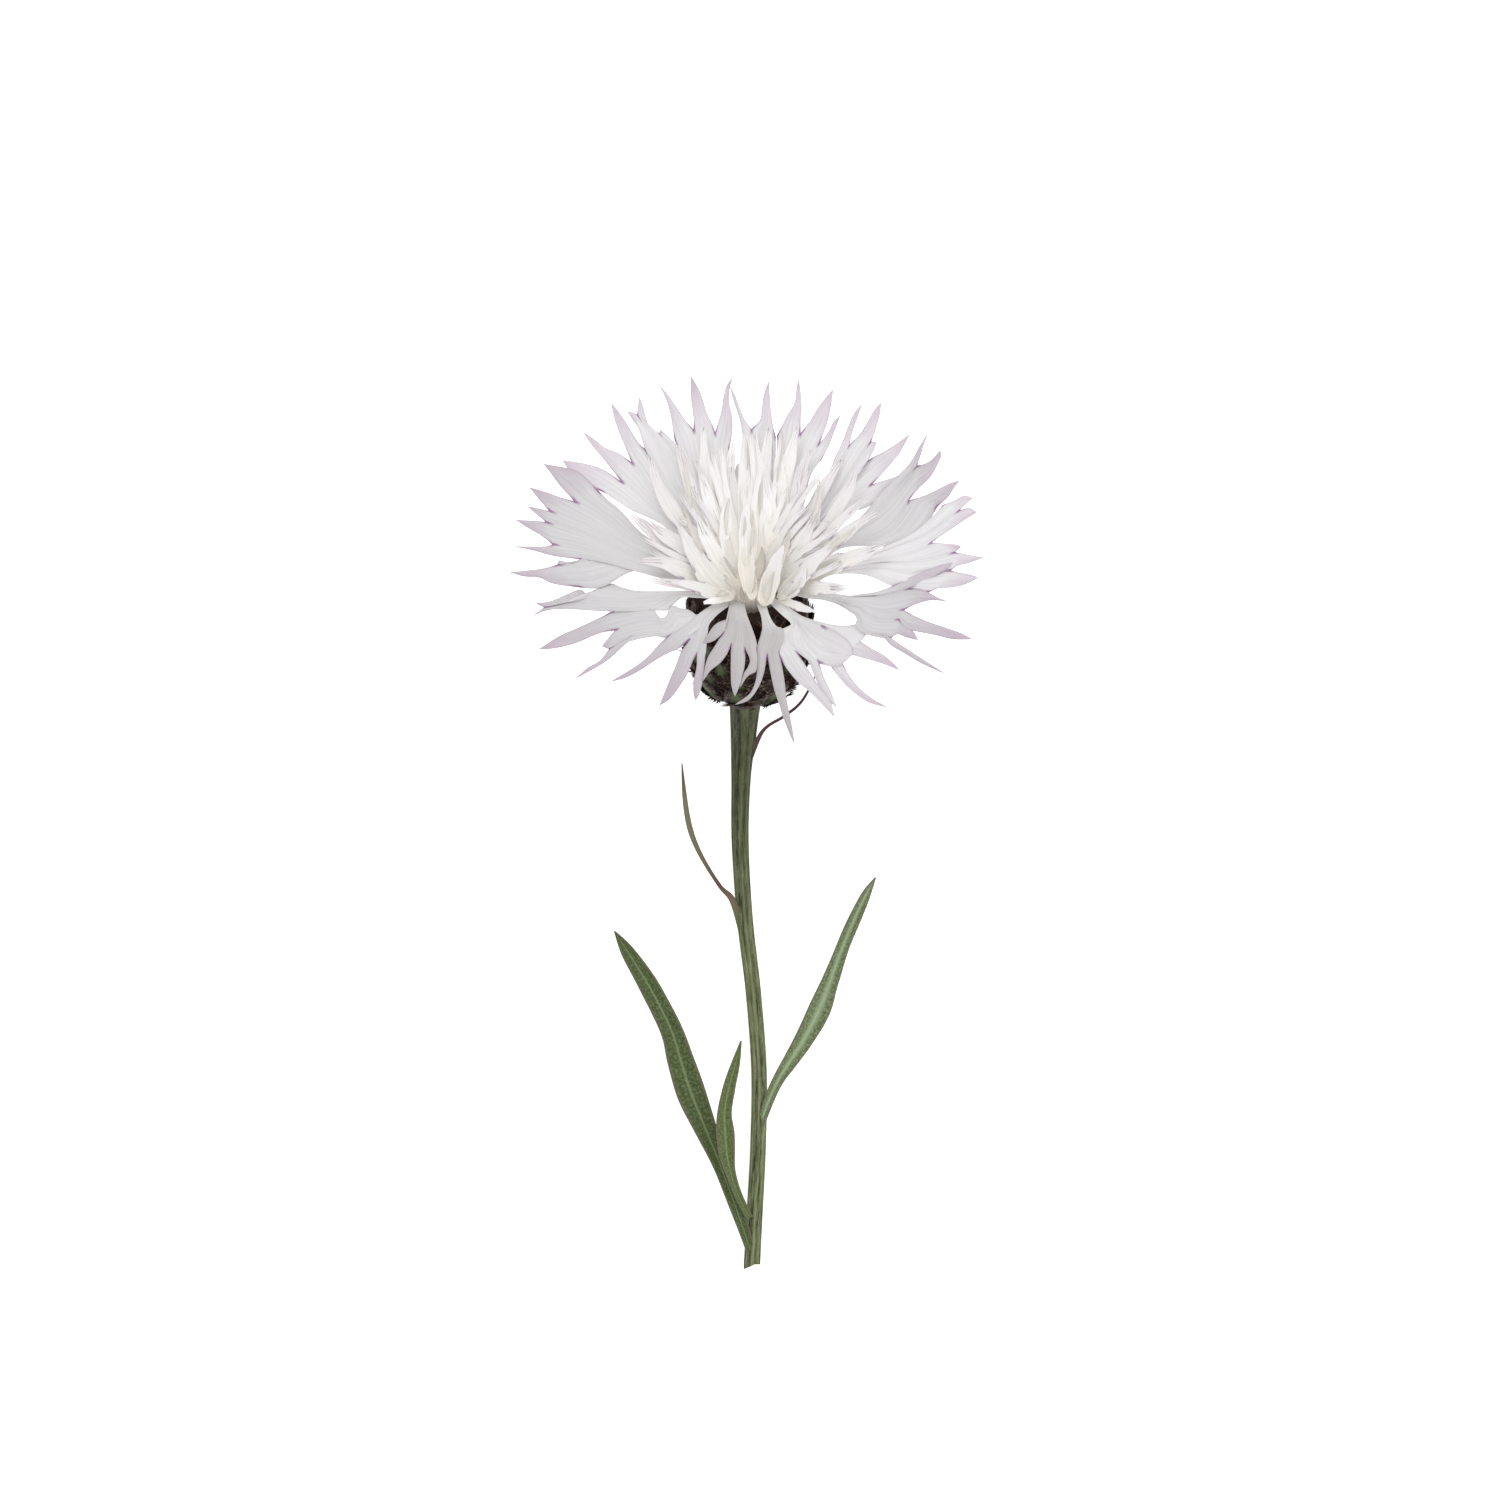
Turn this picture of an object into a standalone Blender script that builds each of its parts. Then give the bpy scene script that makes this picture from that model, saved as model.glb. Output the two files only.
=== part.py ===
"""A white cornflower, cut with its leafy stem and laid down on a table.

It rests on the tips of the florets at the back of its bloom and on a small flat under the stem, near the cut.
+Z is up from the table, +Y runs from the cut end to the bloom, and +X is to the right as seen from above.
The origin is on the table, under the middle of the flower's box. "Seen" means seen from straight above.
"""

import math
import random

import bmesh
import bpy
from mathutils import Matrix, Vector

MM = 0.001
BLADE = 0.6 * MM  # thickness of every petal, leaf and scale
GAP = 0.3 * MM  # clearance between two pieces that touch on the real flower

# The mouth of the flower head, where all florets come out, is the point that the rest is placed from.
MOUTH = Vector((0.1 * MM, 27.8 * MM, 16.0 * MM))

# The bloom faces up more than its cup does. Both tilts are from the table, towards +Z.
BLOOM_TILT = math.radians(50)
CUP_TILT = math.radians(40)

WHITE = (0.86, 0.85, 0.87)
CREAM = (0.86, 0.83, 0.74)
BROWN = (0.10, 0.06, 0.05)
STEM_GREEN = (0.23, 0.31, 0.17)
LEAF_GREEN = (0.20, 0.29, 0.16)


# Their own frames: X to the right, Y to the back (away from the stem), Z outward along the head's axis.
BLOOM = Matrix.Translation(MOUTH) @ Matrix.Rotation(BLOOM_TILT - math.pi / 2, 4, "X")
CUP = Matrix.Translation(MOUTH) @ Matrix.Rotation(CUP_TILT - math.pi / 2, 4, "X")


def clear_scene():
    for found in list(bpy.data.objects):
        bpy.data.objects.remove(found)


def finish_of(name, colour, roughness):
    material = bpy.data.materials.new(name)
    material.use_nodes = True
    shader = material.node_tree.nodes["Principled BSDF"]
    shader.inputs["Base Color"].default_value = (*colour, 1)
    shader.inputs["Roughness"].default_value = roughness
    shader.inputs["Metallic"].default_value = 0
    return material


def solid_from(name, points, faces):
    """An object from a closed skin of points and faces."""
    mesh = bpy.data.meshes.new(name)
    mesh.from_pydata(points, [], faces)
    skin = bmesh.new()
    skin.from_mesh(mesh)
    bmesh.ops.remove_doubles(skin, verts=skin.verts, dist=0.001 * MM)
    bmesh.ops.triangulate(skin, faces=skin.faces)
    bmesh.ops.recalc_face_normals(skin, faces=skin.faces)
    skin.to_mesh(mesh)
    skin.free()
    made = bpy.data.objects.new(name, mesh)
    bpy.context.scene.collection.objects.link(made)
    return made


def blade_from(name, points, faces, thickness=BLADE):
    """A blade: an open sheet, split into triangles first so that both of its faces are split alike."""
    made = solid_from(name, points, faces)
    solidify = made.modifiers.new("Thickness", "SOLIDIFY")
    solidify.thickness = thickness
    solidify.offset = 0
    apply_modifiers(made)
    return made


def apply_modifiers(made):
    graph = bpy.context.evaluated_depsgraph_get()
    made.data = bpy.data.meshes.new_from_object(made.evaluated_get(graph))
    made.modifiers.clear()


def fuse(core, pieces):
    """Joins the repeats of a node with the core they grow from, in one union."""
    repeats = bpy.data.collections.new("repeats of " + core.name)
    bpy.context.scene.collection.children.link(repeats)
    for piece in pieces:
        repeats.objects.link(piece)
    union = core.modifiers.new("Grown together", "BOOLEAN")
    union.operation = "UNION"
    union.operand_type = "COLLECTION"
    union.collection = repeats
    union.solver = "MANIFOLD"  # EXACT leaves an edge on the cup where its skin touches itself
    apply_modifiers(core)
    for piece in pieces:
        bpy.data.objects.remove(piece)
    bpy.data.collections.remove(repeats)
    return core


def keep_clear(piece, neighbour):
    """Cuts the piece back from a neighbour that has been swollen by the gap, which is then removed."""
    cut = piece.modifiers.new("Clear of " + neighbour.name, "BOOLEAN")
    cut.operation = "DIFFERENCE"
    cut.object = neighbour
    apply_modifiers(piece)
    bpy.data.objects.remove(neighbour)


def finish_node(made, name, finish):
    made.name = name
    made.data.name = name
    made.data.materials.clear()
    made.data.materials.append(finish)
    made.data.shade_smooth()
    made.data.set_sharp_from_angle(angle=math.radians(35))


def smooth_path(stations, per_span):
    """Points of a Catmull-Rom curve through stations, tuples of equal length, with per_span steps between two."""
    padded = [stations[0], *stations, stations[-1]]
    path = []
    for before, start, end, after in zip(padded, padded[1:], padded[2:], padded[3:]):
        for step in range(per_span):
            t = step / per_span
            path.append(
                tuple(
                    0.5 * (2 * q + (r - p) * t + (2 * p - 5 * q + 4 * r - s) * t**2 + (3 * q - p - 3 * r + s) * t**3)
                    for p, q, r, s in zip(before, start, end, after)
                )
            )
    path.append(tuple(stations[-1]))
    return path


def seen(x, y, z):
    """The point seen x mm to the right of the mouth and y mm beyond it, z mm above the table."""
    return Vector((MOUTH.x + x * MM, MOUTH.y + y * MM, z * MM))


def turned(name, rings, sides):
    """A solid turned about the head's axis. Its rings are (frame, radius, height over the mouth), bottom to top."""
    points = []
    for frame, radius, height in rings:
        for side in range(sides):
            turn = math.tau * side / sides
            points.append(frame @ Vector((radius * math.cos(turn), radius * math.sin(turn), height)))
    faces = [list(range(sides))]
    for level in range(len(rings) - 1):
        for side in range(sides):
            beside = (side + 1) % sides
            low, high = level * sides, (level + 1) * sides
            faces.append([low + side, low + beside, high + beside, high + side])
    top = (len(rings) - 1) * sides
    faces.append(list(range(top, top + sides)))
    return solid_from(name, points, faces)


# The stem, from the cut end to the cup: (x, y, z, radius), all in mm, x and y seen from the mouth.
STEM_STATIONS = (
    (0.5, -85.4, 0.85, 0.98),
    (0.8, -79.7, 0.85, 0.96),
    (1.3, -69.9, 1.05, 0.94),
    (1.4, -60.3, 1.4, 0.93),
    (0.7, -50.4, 1.7, 0.92),
    (-0.4, -40.8, 1.9, 0.95),
    (-1.0, -31.0, 2.0, 1.02),
    (-0.9, -23.0, 2.2, 1.15),
    (-0.6, -17.5, 3.0, 1.40),
    (-0.2, -14.3, 4.5, 1.68),
)
STEM_RIBS = 6
STEM_RIB = 0.07  # height of a rib, as a share of the stem's radius
STEM_SIDES = 2 * STEM_RIBS
CUT_SLANT = 0.5 * MM  # the cut end is not square

# Where the cup starts and ends on its axis, from the mouth, and its radius under the scales.
CUP_FOOT = -15.0 * MM
CUP_RIM = 1.0 * MM
CUP_LENGTH = CUP_RIM - CUP_FOOT
CUP_RADIUS = 7.5 * MM
STEM_TOP_RADIUS = 1.85 * MM


def stem_skin(name, swell=0.0):
    """The stem as a ribbed sweep that ends face to face with the cup's foot. Swell adds to its radius."""
    cup_axis = CUP.to_3x3() @ Vector((0, 0, 1))
    path = [(seen(x, y, z), radius * MM) for x, y, z, radius in smooth_path(STEM_STATIONS, 2)]
    path.append((CUP @ Vector((0, 0, CUP_FOOT - GAP)), STEM_TOP_RADIUS))
    points = []
    for index, (centre, radius) in enumerate(path):
        before = path[max(index - 1, 0)][0]
        after = path[min(index + 1, len(path) - 1)][0]
        along = cup_axis if index == len(path) - 1 else (after - before).normalized()
        side = along.cross(Vector((0, 0, 1))).normalized()
        above = side.cross(along)
        for corner in range(STEM_SIDES):
            turn = math.tau * corner / STEM_SIDES
            rib = 1 + STEM_RIB * (-1) ** corner
            reach = (radius + swell) * rib
            point = centre + reach * (math.cos(turn) * side + math.sin(turn) * above)
            if index == 0 and not swell:
                point.y += CUT_SLANT * math.cos(turn)
            if not swell:
                point.z = max(point.z, 0)
            points.append(point)
    faces = [list(range(STEM_SIDES))]
    for ring in range(len(path) - 1):
        for corner in range(STEM_SIDES):
            beside = (corner + 1) % STEM_SIDES
            low, high = ring * STEM_SIDES, (ring + 1) * STEM_SIDES
            faces.append([low + corner, low + beside, high + beside, high + corner])
    last = (len(path) - 1) * STEM_SIDES
    faces.append(list(range(last, last + STEM_SIDES)))
    return solid_from(name, points, faces)


# Each leaf as stations from its foot, sunk in the stem, to its tip: (x, y, z, half width), in mm.
# fold is how far its edges stand above its midrib, as a share of the half width.
LEAVES = {
    "leaf_lower_left": {
        "fold": 0.35,
        "stations": (
            (0.6, -83.0, 1.3, 0.45),
            (-0.7, -80.3, 1.7, 0.60),
            (-2.3, -75.9, 2.1, 0.62),
            (-3.9, -71.6, 2.2, 0.85),
            (-5.7, -67.2, 2.0, 1.25),
            (-7.3, -63.2, 1.7, 1.50),
            (-8.6, -59.2, 1.4, 1.40),
            (-9.6, -55.8, 1.2, 1.15),
            (-11.1, -52.5, 1.1, 1.10),
            (-13.0, -49.0, 1.1, 1.00),
            (-15.5, -45.0, 1.0, 0.65),
            (-17.2, -42.4, 0.9, 0.12),
        ),
    },
    "leaf_axil": {
        "fold": 0.45,
        "stations": (
            (0.2, -79.2, 2.4, 0.34),
            (-1.2, -76.4, 3.5, 0.34),
            (-2.2, -73.4, 4.1, 0.44),
            (-2.7, -70.9, 4.3, 0.85),
            (-2.9, -68.3, 4.4, 1.00),
            (-3.0, -65.6, 4.5, 0.74),
            (-2.4, -62.3, 4.7, 0.60),
            (-1.6, -59.4, 5.0, 0.42),
            (-0.9, -56.4, 5.3, 0.12),
        ),
    },
    "leaf_right": {
        "fold": 0.40,
        "stations": (
            (1.4, -67.6, 1.6, 0.40),
            (2.5, -64.6, 2.1, 0.50),
            (3.9, -61.5, 2.4, 0.55),
            (5.4, -59.1, 2.5, 0.75),
            (7.3, -56.1, 2.4, 1.00),
            (9.2, -52.4, 2.1, 1.18),
            (10.5, -49.0, 1.8, 0.88),
            (12.0, -44.9, 1.5, 0.66),
            (13.5, -41.3, 1.3, 0.62),
            (15.1, -37.9, 1.1, 0.45),
            (16.4, -35.5, 1.0, 0.10),
        ),
    },
    "leaf_upper_left": {
        "fold": 0.30,
        "stations": (
            (-0.6, -42.0, 2.0, 0.36),
            (-2.0, -38.4, 2.7, 0.36),
            (-3.5, -36.6, 3.0, 0.36),
            (-5.6, -33.3, 3.2, 0.38),
            (-7.1, -30.3, 3.1, 0.42),
            (-7.8, -27.6, 2.9, 0.42),
            (-8.2, -24.4, 2.6, 0.38),
            (-8.5, -20.8, 2.2, 0.10),
        ),
    },
    "leaf_top_right": {
        "fold": 0.20,
        "stations": (
            (0.0, -19.6, 2.8, 0.36),
            (1.5, -17.3, 3.2, 0.34),
            (2.6, -16.0, 3.4, 0.32),
            (4.6, -14.8, 3.4, 0.32),
            (6.6, -13.2, 3.2, 0.30),
            (7.9, -11.2, 2.8, 0.25),
            (8.7, -9.4, 2.3, 0.10),
        ),
    },
}


def leaf(name, stations, fold):
    """A lance-shaped blade folded along its midrib, cut clear of the stem that it grows from."""
    points = []
    for index, (x, y, z, half) in enumerate(stations):
        before = stations[max(index - 1, 0)]
        after = stations[min(index + 1, len(stations) - 1)]
        along = Vector((after[0] - before[0], after[1] - before[1], 0)).normalized()
        across = Vector((-along.y, along.x, 0))
        rib = seen(x, y, z)
        edge_rise = Vector((0, 0, half * fold * MM))
        points += [rib - across * half * MM + edge_rise, rib, rib + across * half * MM + edge_rise]
    faces = []
    for row in range(len(stations) - 1):
        low, high = 3 * row, 3 * (row + 1)
        faces.append([low, low + 1, high + 1, high])
        faces.append([low + 1, low + 2, high + 2, high + 1])
    blade = blade_from(name, points, faces)
    keep_clear(blade, stem_skin("swollen stem", swell=GAP))
    return blade


# Cup outline as (share of its length from the foot, share of its widest radius).
CUP_OUTLINE = ((0, 0.30), (0.06, 0.55), (0.18, 0.80), (0.35, 0.95), (0.55, 1), (0.78, 1), (0.92, 0.97), (1, 0.90))
CUP_SIDES = 18
SCALE_ROWS = 7
SCALES_IN_WIDEST_ROW = 11
SCALE_LENGTH = 4.6 * MM
SCALE_WIDTH = 3.9 * MM
SCALE_LIFT = 0.75 * MM  # how far a scale's tip stands off the cup
SCALE_SINK = 0.7 * MM  # how deep its root lies in the cup
SCALE_PROUD = 0.1 * MM  # what shows of its root
SCALE_RIDGE = 0.4 * MM
SCALE_TAPER = 1.03  # the side that is sunk is a little wider, so that no hollow is left under the scale
SHIELD = ((0.0, 0.55), (0.45, 1.0), (0.8, 0.62), (1.0, 0.0), (0.8, -0.62), (0.45, -1.0), (0.0, -0.55))
FIRST_ROW = 0.03  # where the rows of scales start and end, as shares of the cup's length
LAST_ROW = 0.76
FIRST_ROW_SIZE = 0.72


def cup_radius(share):
    """The cup's radius at a share of its length, read from its outline."""
    for (low, narrow), (high, wide) in zip(CUP_OUTLINE, CUP_OUTLINE[1:]):
        if share <= high:
            return CUP_RADIUS * (narrow + (wide - narrow) * (share - low) / (high - low))
    return CUP_RADIUS * CUP_OUTLINE[-1][1]


def cup_point(share, turn, off):
    """A point off the cup's surface, at a share of its length and a turn about its axis."""
    radius = cup_radius(share) + off
    return CUP @ Vector((radius * math.cos(turn), radius * math.sin(turn), CUP_FOOT + share * CUP_LENGTH))


def cup_scale(share, turn, size):
    """One bract: a shield with a ridge, whose root is sunk in the cup and whose point stands off it."""
    long = SCALE_LENGTH * size / CUP_LENGTH
    wide = SCALE_WIDTH * size / (2 * cup_radius(share + long / 2))
    outer = [cup_point(share + long * u, turn + wide * v, SCALE_LIFT * size * u + SCALE_PROUD) for u, v in SHIELD]
    inner = [cup_point(share + long * u, turn + wide * v * SCALE_TAPER, -SCALE_SINK) for u, v in SHIELD]
    ridge = cup_point(share + long / 2, turn, SCALE_LIFT * size / 2 + SCALE_RIDGE)
    count = len(SHIELD)
    faces = [[step, (step + 1) % count, 2 * count] for step in range(count)]
    faces += [[step, count + step, count + (step + 1) % count, (step + 1) % count] for step in range(count)]
    faces.append([count + step for step in reversed(range(count))])
    return solid_from("scale", outer + inner + [ridge], faces)


def involucre():
    """The cup of overlapping scales under the bloom."""
    rings = [(CUP, cup_radius(share), CUP_FOOT + share * CUP_LENGTH) for share, _ in CUP_OUTLINE]
    core = turned("involucre", rings, CUP_SIDES)
    scales = []
    for row in range(SCALE_ROWS):
        share = FIRST_ROW + (LAST_ROW - FIRST_ROW) * row / (SCALE_ROWS - 1)
        count = round(SCALES_IN_WIDEST_ROW * cup_radius(share + 0.1) / CUP_RADIUS)
        size = FIRST_ROW_SIZE if row == 0 else 1.0
        for place in range(count):
            turn = math.tau * (place + 0.5 * (row % 2)) / count
            scales.append(cup_scale(share, turn, size))
    return fuse(core, scales)


# Ray florets, counterclockwise from the right: how far out their lobes part, as a share of their length, and
# the tips of the lobes as seen from the mouth, as (bearing in degrees from +X, reach in mm).
RAY_FLORETS = (
    (0.86, ((5.5, 29.4), (10.2, 30.3), (14.2, 27.5), (20.9, 31.1), (25.0, 31.1))),
    (0.80, ((29.6, 30.9), (33.6, 26.5), (37.9, 31.1), (43.0, 31.0))),
    (0.78, ((40.5, 25.0), (46.0, 29.7), (51.0, 26.1), (56.2, 30.5), (60.2, 29.2))),
    (0.78, ((63.8, 26.5), (68.2, 29.2), (77.5, 29.5))),
    (0.76, ((81.0, 24.5), (84.6, 28.3), (90.0, 23.5), (94.3, 27.5))),
    (0.77, ((93.8, 29.0), (104.3, 30.0), (112.2, 30.0))),
    (0.80, ((109.0, 24.0), (113.5, 24.5), (118.1, 29.7), (122.4, 28.8))),
    (0.77, ((124.7, 30.8), (134.4, 30.3), (142.8, 29.7))),
    (0.87, ((146.4, 31.5), (152.7, 31.4), (157.0, 30.6), (161.0, 31.3), (167.1, 30.3))),
    (0.78, ((168.7, 24.7), (173.5, 30.3), (177.0, 24.5))),
    (0.76, ((181.0, 26.9), (184.5, 27.2), (189.0, 21.0))),
    (0.72, ((193.5, 27.3), (198.5, 19.4), (204.8, 24.0))),
    (0.52, ((211.0, 20.2), (230.3, 17.5), (242.3, 14.2))),
    (0.50, ((226.0, 8.2), (242.5, 13.0), (262.3, 12.3), (272.0, 9.0))),
    (0.45, ((263.5, 13.4), (287.4, 19.2))),
    (0.62, ((306.2, 18.3), (310.5, 17.4), (322.1, 22.4), (330.0, 15.0), (335.0, 21.2))),
    (0.72, ((339.2, 26.6), (346.7, 22.0), (349.8, 28.9), (359.4, 25.1))),
)
# Every second floret lies a little higher, so that neighbours overlap without crossing.
LAYER = 1.0 * MM
DISH_SHOULDER = 5.6 * MM  # height of the florets over the mouth, from the shoulder outward
SHOULDER_REACH = 10 * MM
DROOP_REACH = 8 * MM  # beyond this, florets on the stem's side hang down
DROOP = 0.5
NECK_REACH = 3.2 * MM
NECK_HALF = 0.45 * MM
LOBE_HALF = 1.2 * MM
LOBE_RISE = 0.7 * MM  # most that a lobe's tip is lifted or lowered
PALM_ROWS = (0.0, 0.3, 0.55, 0.8, 1.0)
FLARE = 1.6  # how a floret widens from its neck to its lobes
RAY_SEED = 7

# The button that the ray florets come out of lies on the cup and is level with the bloom on top.
RAY_CORE = (
    (CUP, 3.4 * MM, 1.3 * MM),
    (CUP, 3.8 * MM, 1.7 * MM),
    (BLOOM, 3.8 * MM, 3.2 * MM),
    (BLOOM, 3.0 * MM, 3.9 * MM),
)


def dish_height(point):
    """Height of the ray florets over the mouth's plane, at a point (right, back) of that plane."""
    reach = point.length
    rise = 1 - min(reach / SHOULDER_REACH, 1)
    height = DISH_SHOULDER * (1 - rise**2)
    facing_stem = max(0, -point.y / reach)
    return height - DROOP * facing_stem**1.5 * max(0, reach - DROOP_REACH)


def on_dish(point, raised=0.0):
    """A point of the mouth's plane lifted to the dish. What would dip into the table lies on it."""
    placed = BLOOM @ Vector((point.x, point.y, dish_height(point) + raised))
    placed.z = max(placed.z, BLADE / 2)
    return placed


def tip_in_plane(bearing, reach):
    """The point of the mouth's plane whose place on the dish is seen at this bearing and reach."""
    x = reach * MM * math.cos(math.radians(bearing))
    y = reach * MM * math.sin(math.radians(bearing))
    height = DISH_SHOULDER
    for _ in range(30):
        found = Vector((x, (y - height * math.cos(BLOOM_TILT)) / math.sin(BLOOM_TILT)))
        height = dish_height(found)
    return found


def ray_floret(name, parting, tips, layer, draw):
    """One ray floret: a narrow neck that widens to a palm, which parts into pointed lobes."""
    tips = [tip_in_plane(*tip) for tip in tips]
    lifts = [draw.uniform(-LOBE_RISE, LOBE_RISE) for _ in tips]
    heading = sum(tips, Vector((0, 0))).normalized()
    across = Vector((-heading.y, heading.x))
    neck = heading * NECK_REACH
    partings = [neck + parting * ((one + other) / 2 - neck) for one, other in zip(tips, tips[1:])]
    first = neck + parting * (tips[0] - neck) - across * LOBE_HALF
    last = neck + parting * (tips[-1] - neck) + across * LOBE_HALF
    corners = [first, *partings, last]
    columns = len(corners)
    points = []
    for share in PALM_ROWS:
        flare = share**FLARE
        for column, corner in enumerate(corners):
            reach = corner - neck
            side = reach.dot(across) * flare + NECK_HALF * (2 * column / (columns - 1) - 1) * (1 - flare)
            flat = neck + heading * reach.dot(heading) * share + across * side
            points.append(on_dish(flat, layer * min(flat.length / SHOULDER_REACH, 1)))
    faces = []
    for row in range(len(PALM_ROWS) - 1):
        for column in range(columns - 1):
            low, high = row * columns + column, (row + 1) * columns + column
            faces.append([low, low + 1, high + 1, high])
    base = (len(PALM_ROWS) - 1) * columns
    for lobe, (tip, lift) in enumerate(zip(tips, lifts)):
        left, right = corners[lobe], corners[lobe + 1]
        middle = (left + right) / 2 + 0.5 * (tip - (left + right) / 2)
        half = (right - left).normalized() * min(0.38 * (right - left).length, LOBE_HALF)
        start = len(points)
        points += [on_dish(middle - half, layer + lift / 3), on_dish(middle + half, layer + lift / 3)]
        points.append(on_dish(tip, layer + lift))
        faces.append([base + lobe, base + lobe + 1, start + 1, start])
        faces.append([start, start + 1, start + 2])
    return blade_from(name, points, faces)


def ray_florets():
    """The ring of large outer florets, grown together with the button that they come out of."""
    draw = random.Random(RAY_SEED)
    core = turned("ray_florets", RAY_CORE, 14)
    florets = []
    for index, (parting, tips) in enumerate(RAY_FLORETS):
        florets.append(ray_floret(f"ray floret {index}", parting, tips, LAYER * (index % 2), draw))
    return fuse(core, florets)


# Disc florets: narrow ones that stand in the middle, on a golden-angle spiral.
DISC_COUNT = 40
DISC_SPREAD = math.radians(62)  # lean of the outermost one from the bloom's axis
DISC_LENGTH = (13.0 * MM, 19.5 * MM)  # in the middle, and outermost
DISC_HALF = 0.42 * MM  # half width of a floret's tube
DISC_PART = 0.6  # where its lobes part, as a share of its length
DISC_ROOT = 5.4 * MM  # height over the mouth that they fan out from
DISC_SEED = 11
DISC_CORE = ((2.0, 4.3), (3.0, 5.4), (3.9, 7.0), (3.9, 8.2), (2.6, 9.6), (1.0, 10.2))  # radius and height, in mm
GOLDEN_ANGLE = math.pi * (3 - math.sqrt(5))


def disc_floret(name, lean, turn, length, draw):
    """One disc floret: a strap that bends outward and parts into three narrow lobes."""
    outward = Vector((math.cos(turn), math.sin(turn), 0))
    across = Vector((-math.sin(turn), math.cos(turn), 0))
    twist = draw.uniform(-0.5, 0.5)

    def place(share, side):
        angle = lean * (0.82 + 0.3 * share)
        spine = outward * math.sin(angle) + Vector((0, 0, math.cos(angle)))
        face = across * math.cos(twist) + spine.cross(across) * math.sin(twist)
        return BLOOM @ (Vector((0, 0, DISC_ROOT)) + spine * length * share + face * side)

    points = [place(0.12, -0.3 * DISC_HALF), place(0.12, 0.3 * DISC_HALF)]
    points += [place(0.4, -0.8 * DISC_HALF), place(0.4, 0.8 * DISC_HALF)]
    points += [place(DISC_PART, side * DISC_HALF) for side in (-1.1, -0.4, 0.4, 1.1)]
    faces = [[0, 1, 3, 2], [2, 3, 7, 6, 5, 4]]
    for lobe, reach in enumerate((draw.uniform(0.86, 0.95), 1.0, draw.uniform(0.86, 0.95))):
        points.append(place(reach, (lobe - 1) * 2.6 * DISC_HALF))
        faces.append([4 + lobe, 5 + lobe, 8 + lobe])
    return blade_from(name, points, faces)


def disc_florets():
    """The tuft of narrow florets in the middle, standing out of a core that they fill on the real flower."""
    draw = random.Random(DISC_SEED)
    core = turned("disc_florets", [(BLOOM, radius * MM, height * MM) for radius, height in DISC_CORE], 12)
    florets = []
    for index in range(DISC_COUNT):
        share = math.sqrt((index + 0.5) / DISC_COUNT)
        short, tall = DISC_LENGTH
        length = (short + (tall - short) * share) * draw.uniform(0.92, 1.05)
        florets.append(disc_floret(f"disc floret {index}", DISC_SPREAD * share, GOLDEN_ANGLE * index, length, draw))
    return fuse(core, florets)


def main():
    clear_scene()
    petal_white = finish_of("petal white", WHITE, 0.55)
    petal_cream = finish_of("petal cream", CREAM, 0.5)
    scale_brown = finish_of("scale brown", BROWN, 0.6)
    stem_green = finish_of("stem green", STEM_GREEN, 0.55)
    leaf_green = finish_of("leaf green", LEAF_GREEN, 0.6)
    finish_node(stem_skin("stem"), "stem", stem_green)
    for name, shape in LEAVES.items():
        finish_node(leaf(name, shape["stations"], shape["fold"]), name, leaf_green)
    finish_node(involucre(), "involucre", scale_brown)
    finish_node(ray_florets(), "ray_florets", petal_white)
    finish_node(disc_florets(), "disc_florets", petal_cream)


main()
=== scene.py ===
"""The looks of a white cornflower, cut with its leafy stem and laid down on a table.

All sizes are in millimetres, in the frame of the solids: Z up from the table, Y from the cut to the bloom.
"Seen" means seen from straight above, as the picture is taken.
"""

import math
import random

import bpy
import numpy as np
from mathutils.bvhtree import BVHTree
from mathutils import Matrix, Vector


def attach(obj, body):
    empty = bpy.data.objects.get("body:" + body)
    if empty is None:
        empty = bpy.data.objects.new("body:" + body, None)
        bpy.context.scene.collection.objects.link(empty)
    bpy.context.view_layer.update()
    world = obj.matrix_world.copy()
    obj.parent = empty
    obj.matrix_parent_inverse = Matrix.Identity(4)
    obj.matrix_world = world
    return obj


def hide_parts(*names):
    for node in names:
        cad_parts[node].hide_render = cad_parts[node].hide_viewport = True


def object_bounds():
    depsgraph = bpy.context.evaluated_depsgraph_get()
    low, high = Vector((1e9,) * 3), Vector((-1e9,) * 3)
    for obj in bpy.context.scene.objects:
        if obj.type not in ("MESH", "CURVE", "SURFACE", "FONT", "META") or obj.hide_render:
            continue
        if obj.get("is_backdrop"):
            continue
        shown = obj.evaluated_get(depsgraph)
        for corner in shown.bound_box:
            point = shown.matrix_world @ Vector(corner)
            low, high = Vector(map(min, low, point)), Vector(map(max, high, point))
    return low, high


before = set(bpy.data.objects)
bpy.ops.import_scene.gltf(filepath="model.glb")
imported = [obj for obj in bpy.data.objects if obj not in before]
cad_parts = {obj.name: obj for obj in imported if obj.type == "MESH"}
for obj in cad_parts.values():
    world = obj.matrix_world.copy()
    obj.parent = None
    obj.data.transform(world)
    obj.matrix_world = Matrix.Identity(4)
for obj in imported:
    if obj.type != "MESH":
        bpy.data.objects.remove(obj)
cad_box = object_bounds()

MM = 0.001  # one millimetre in metres

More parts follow.
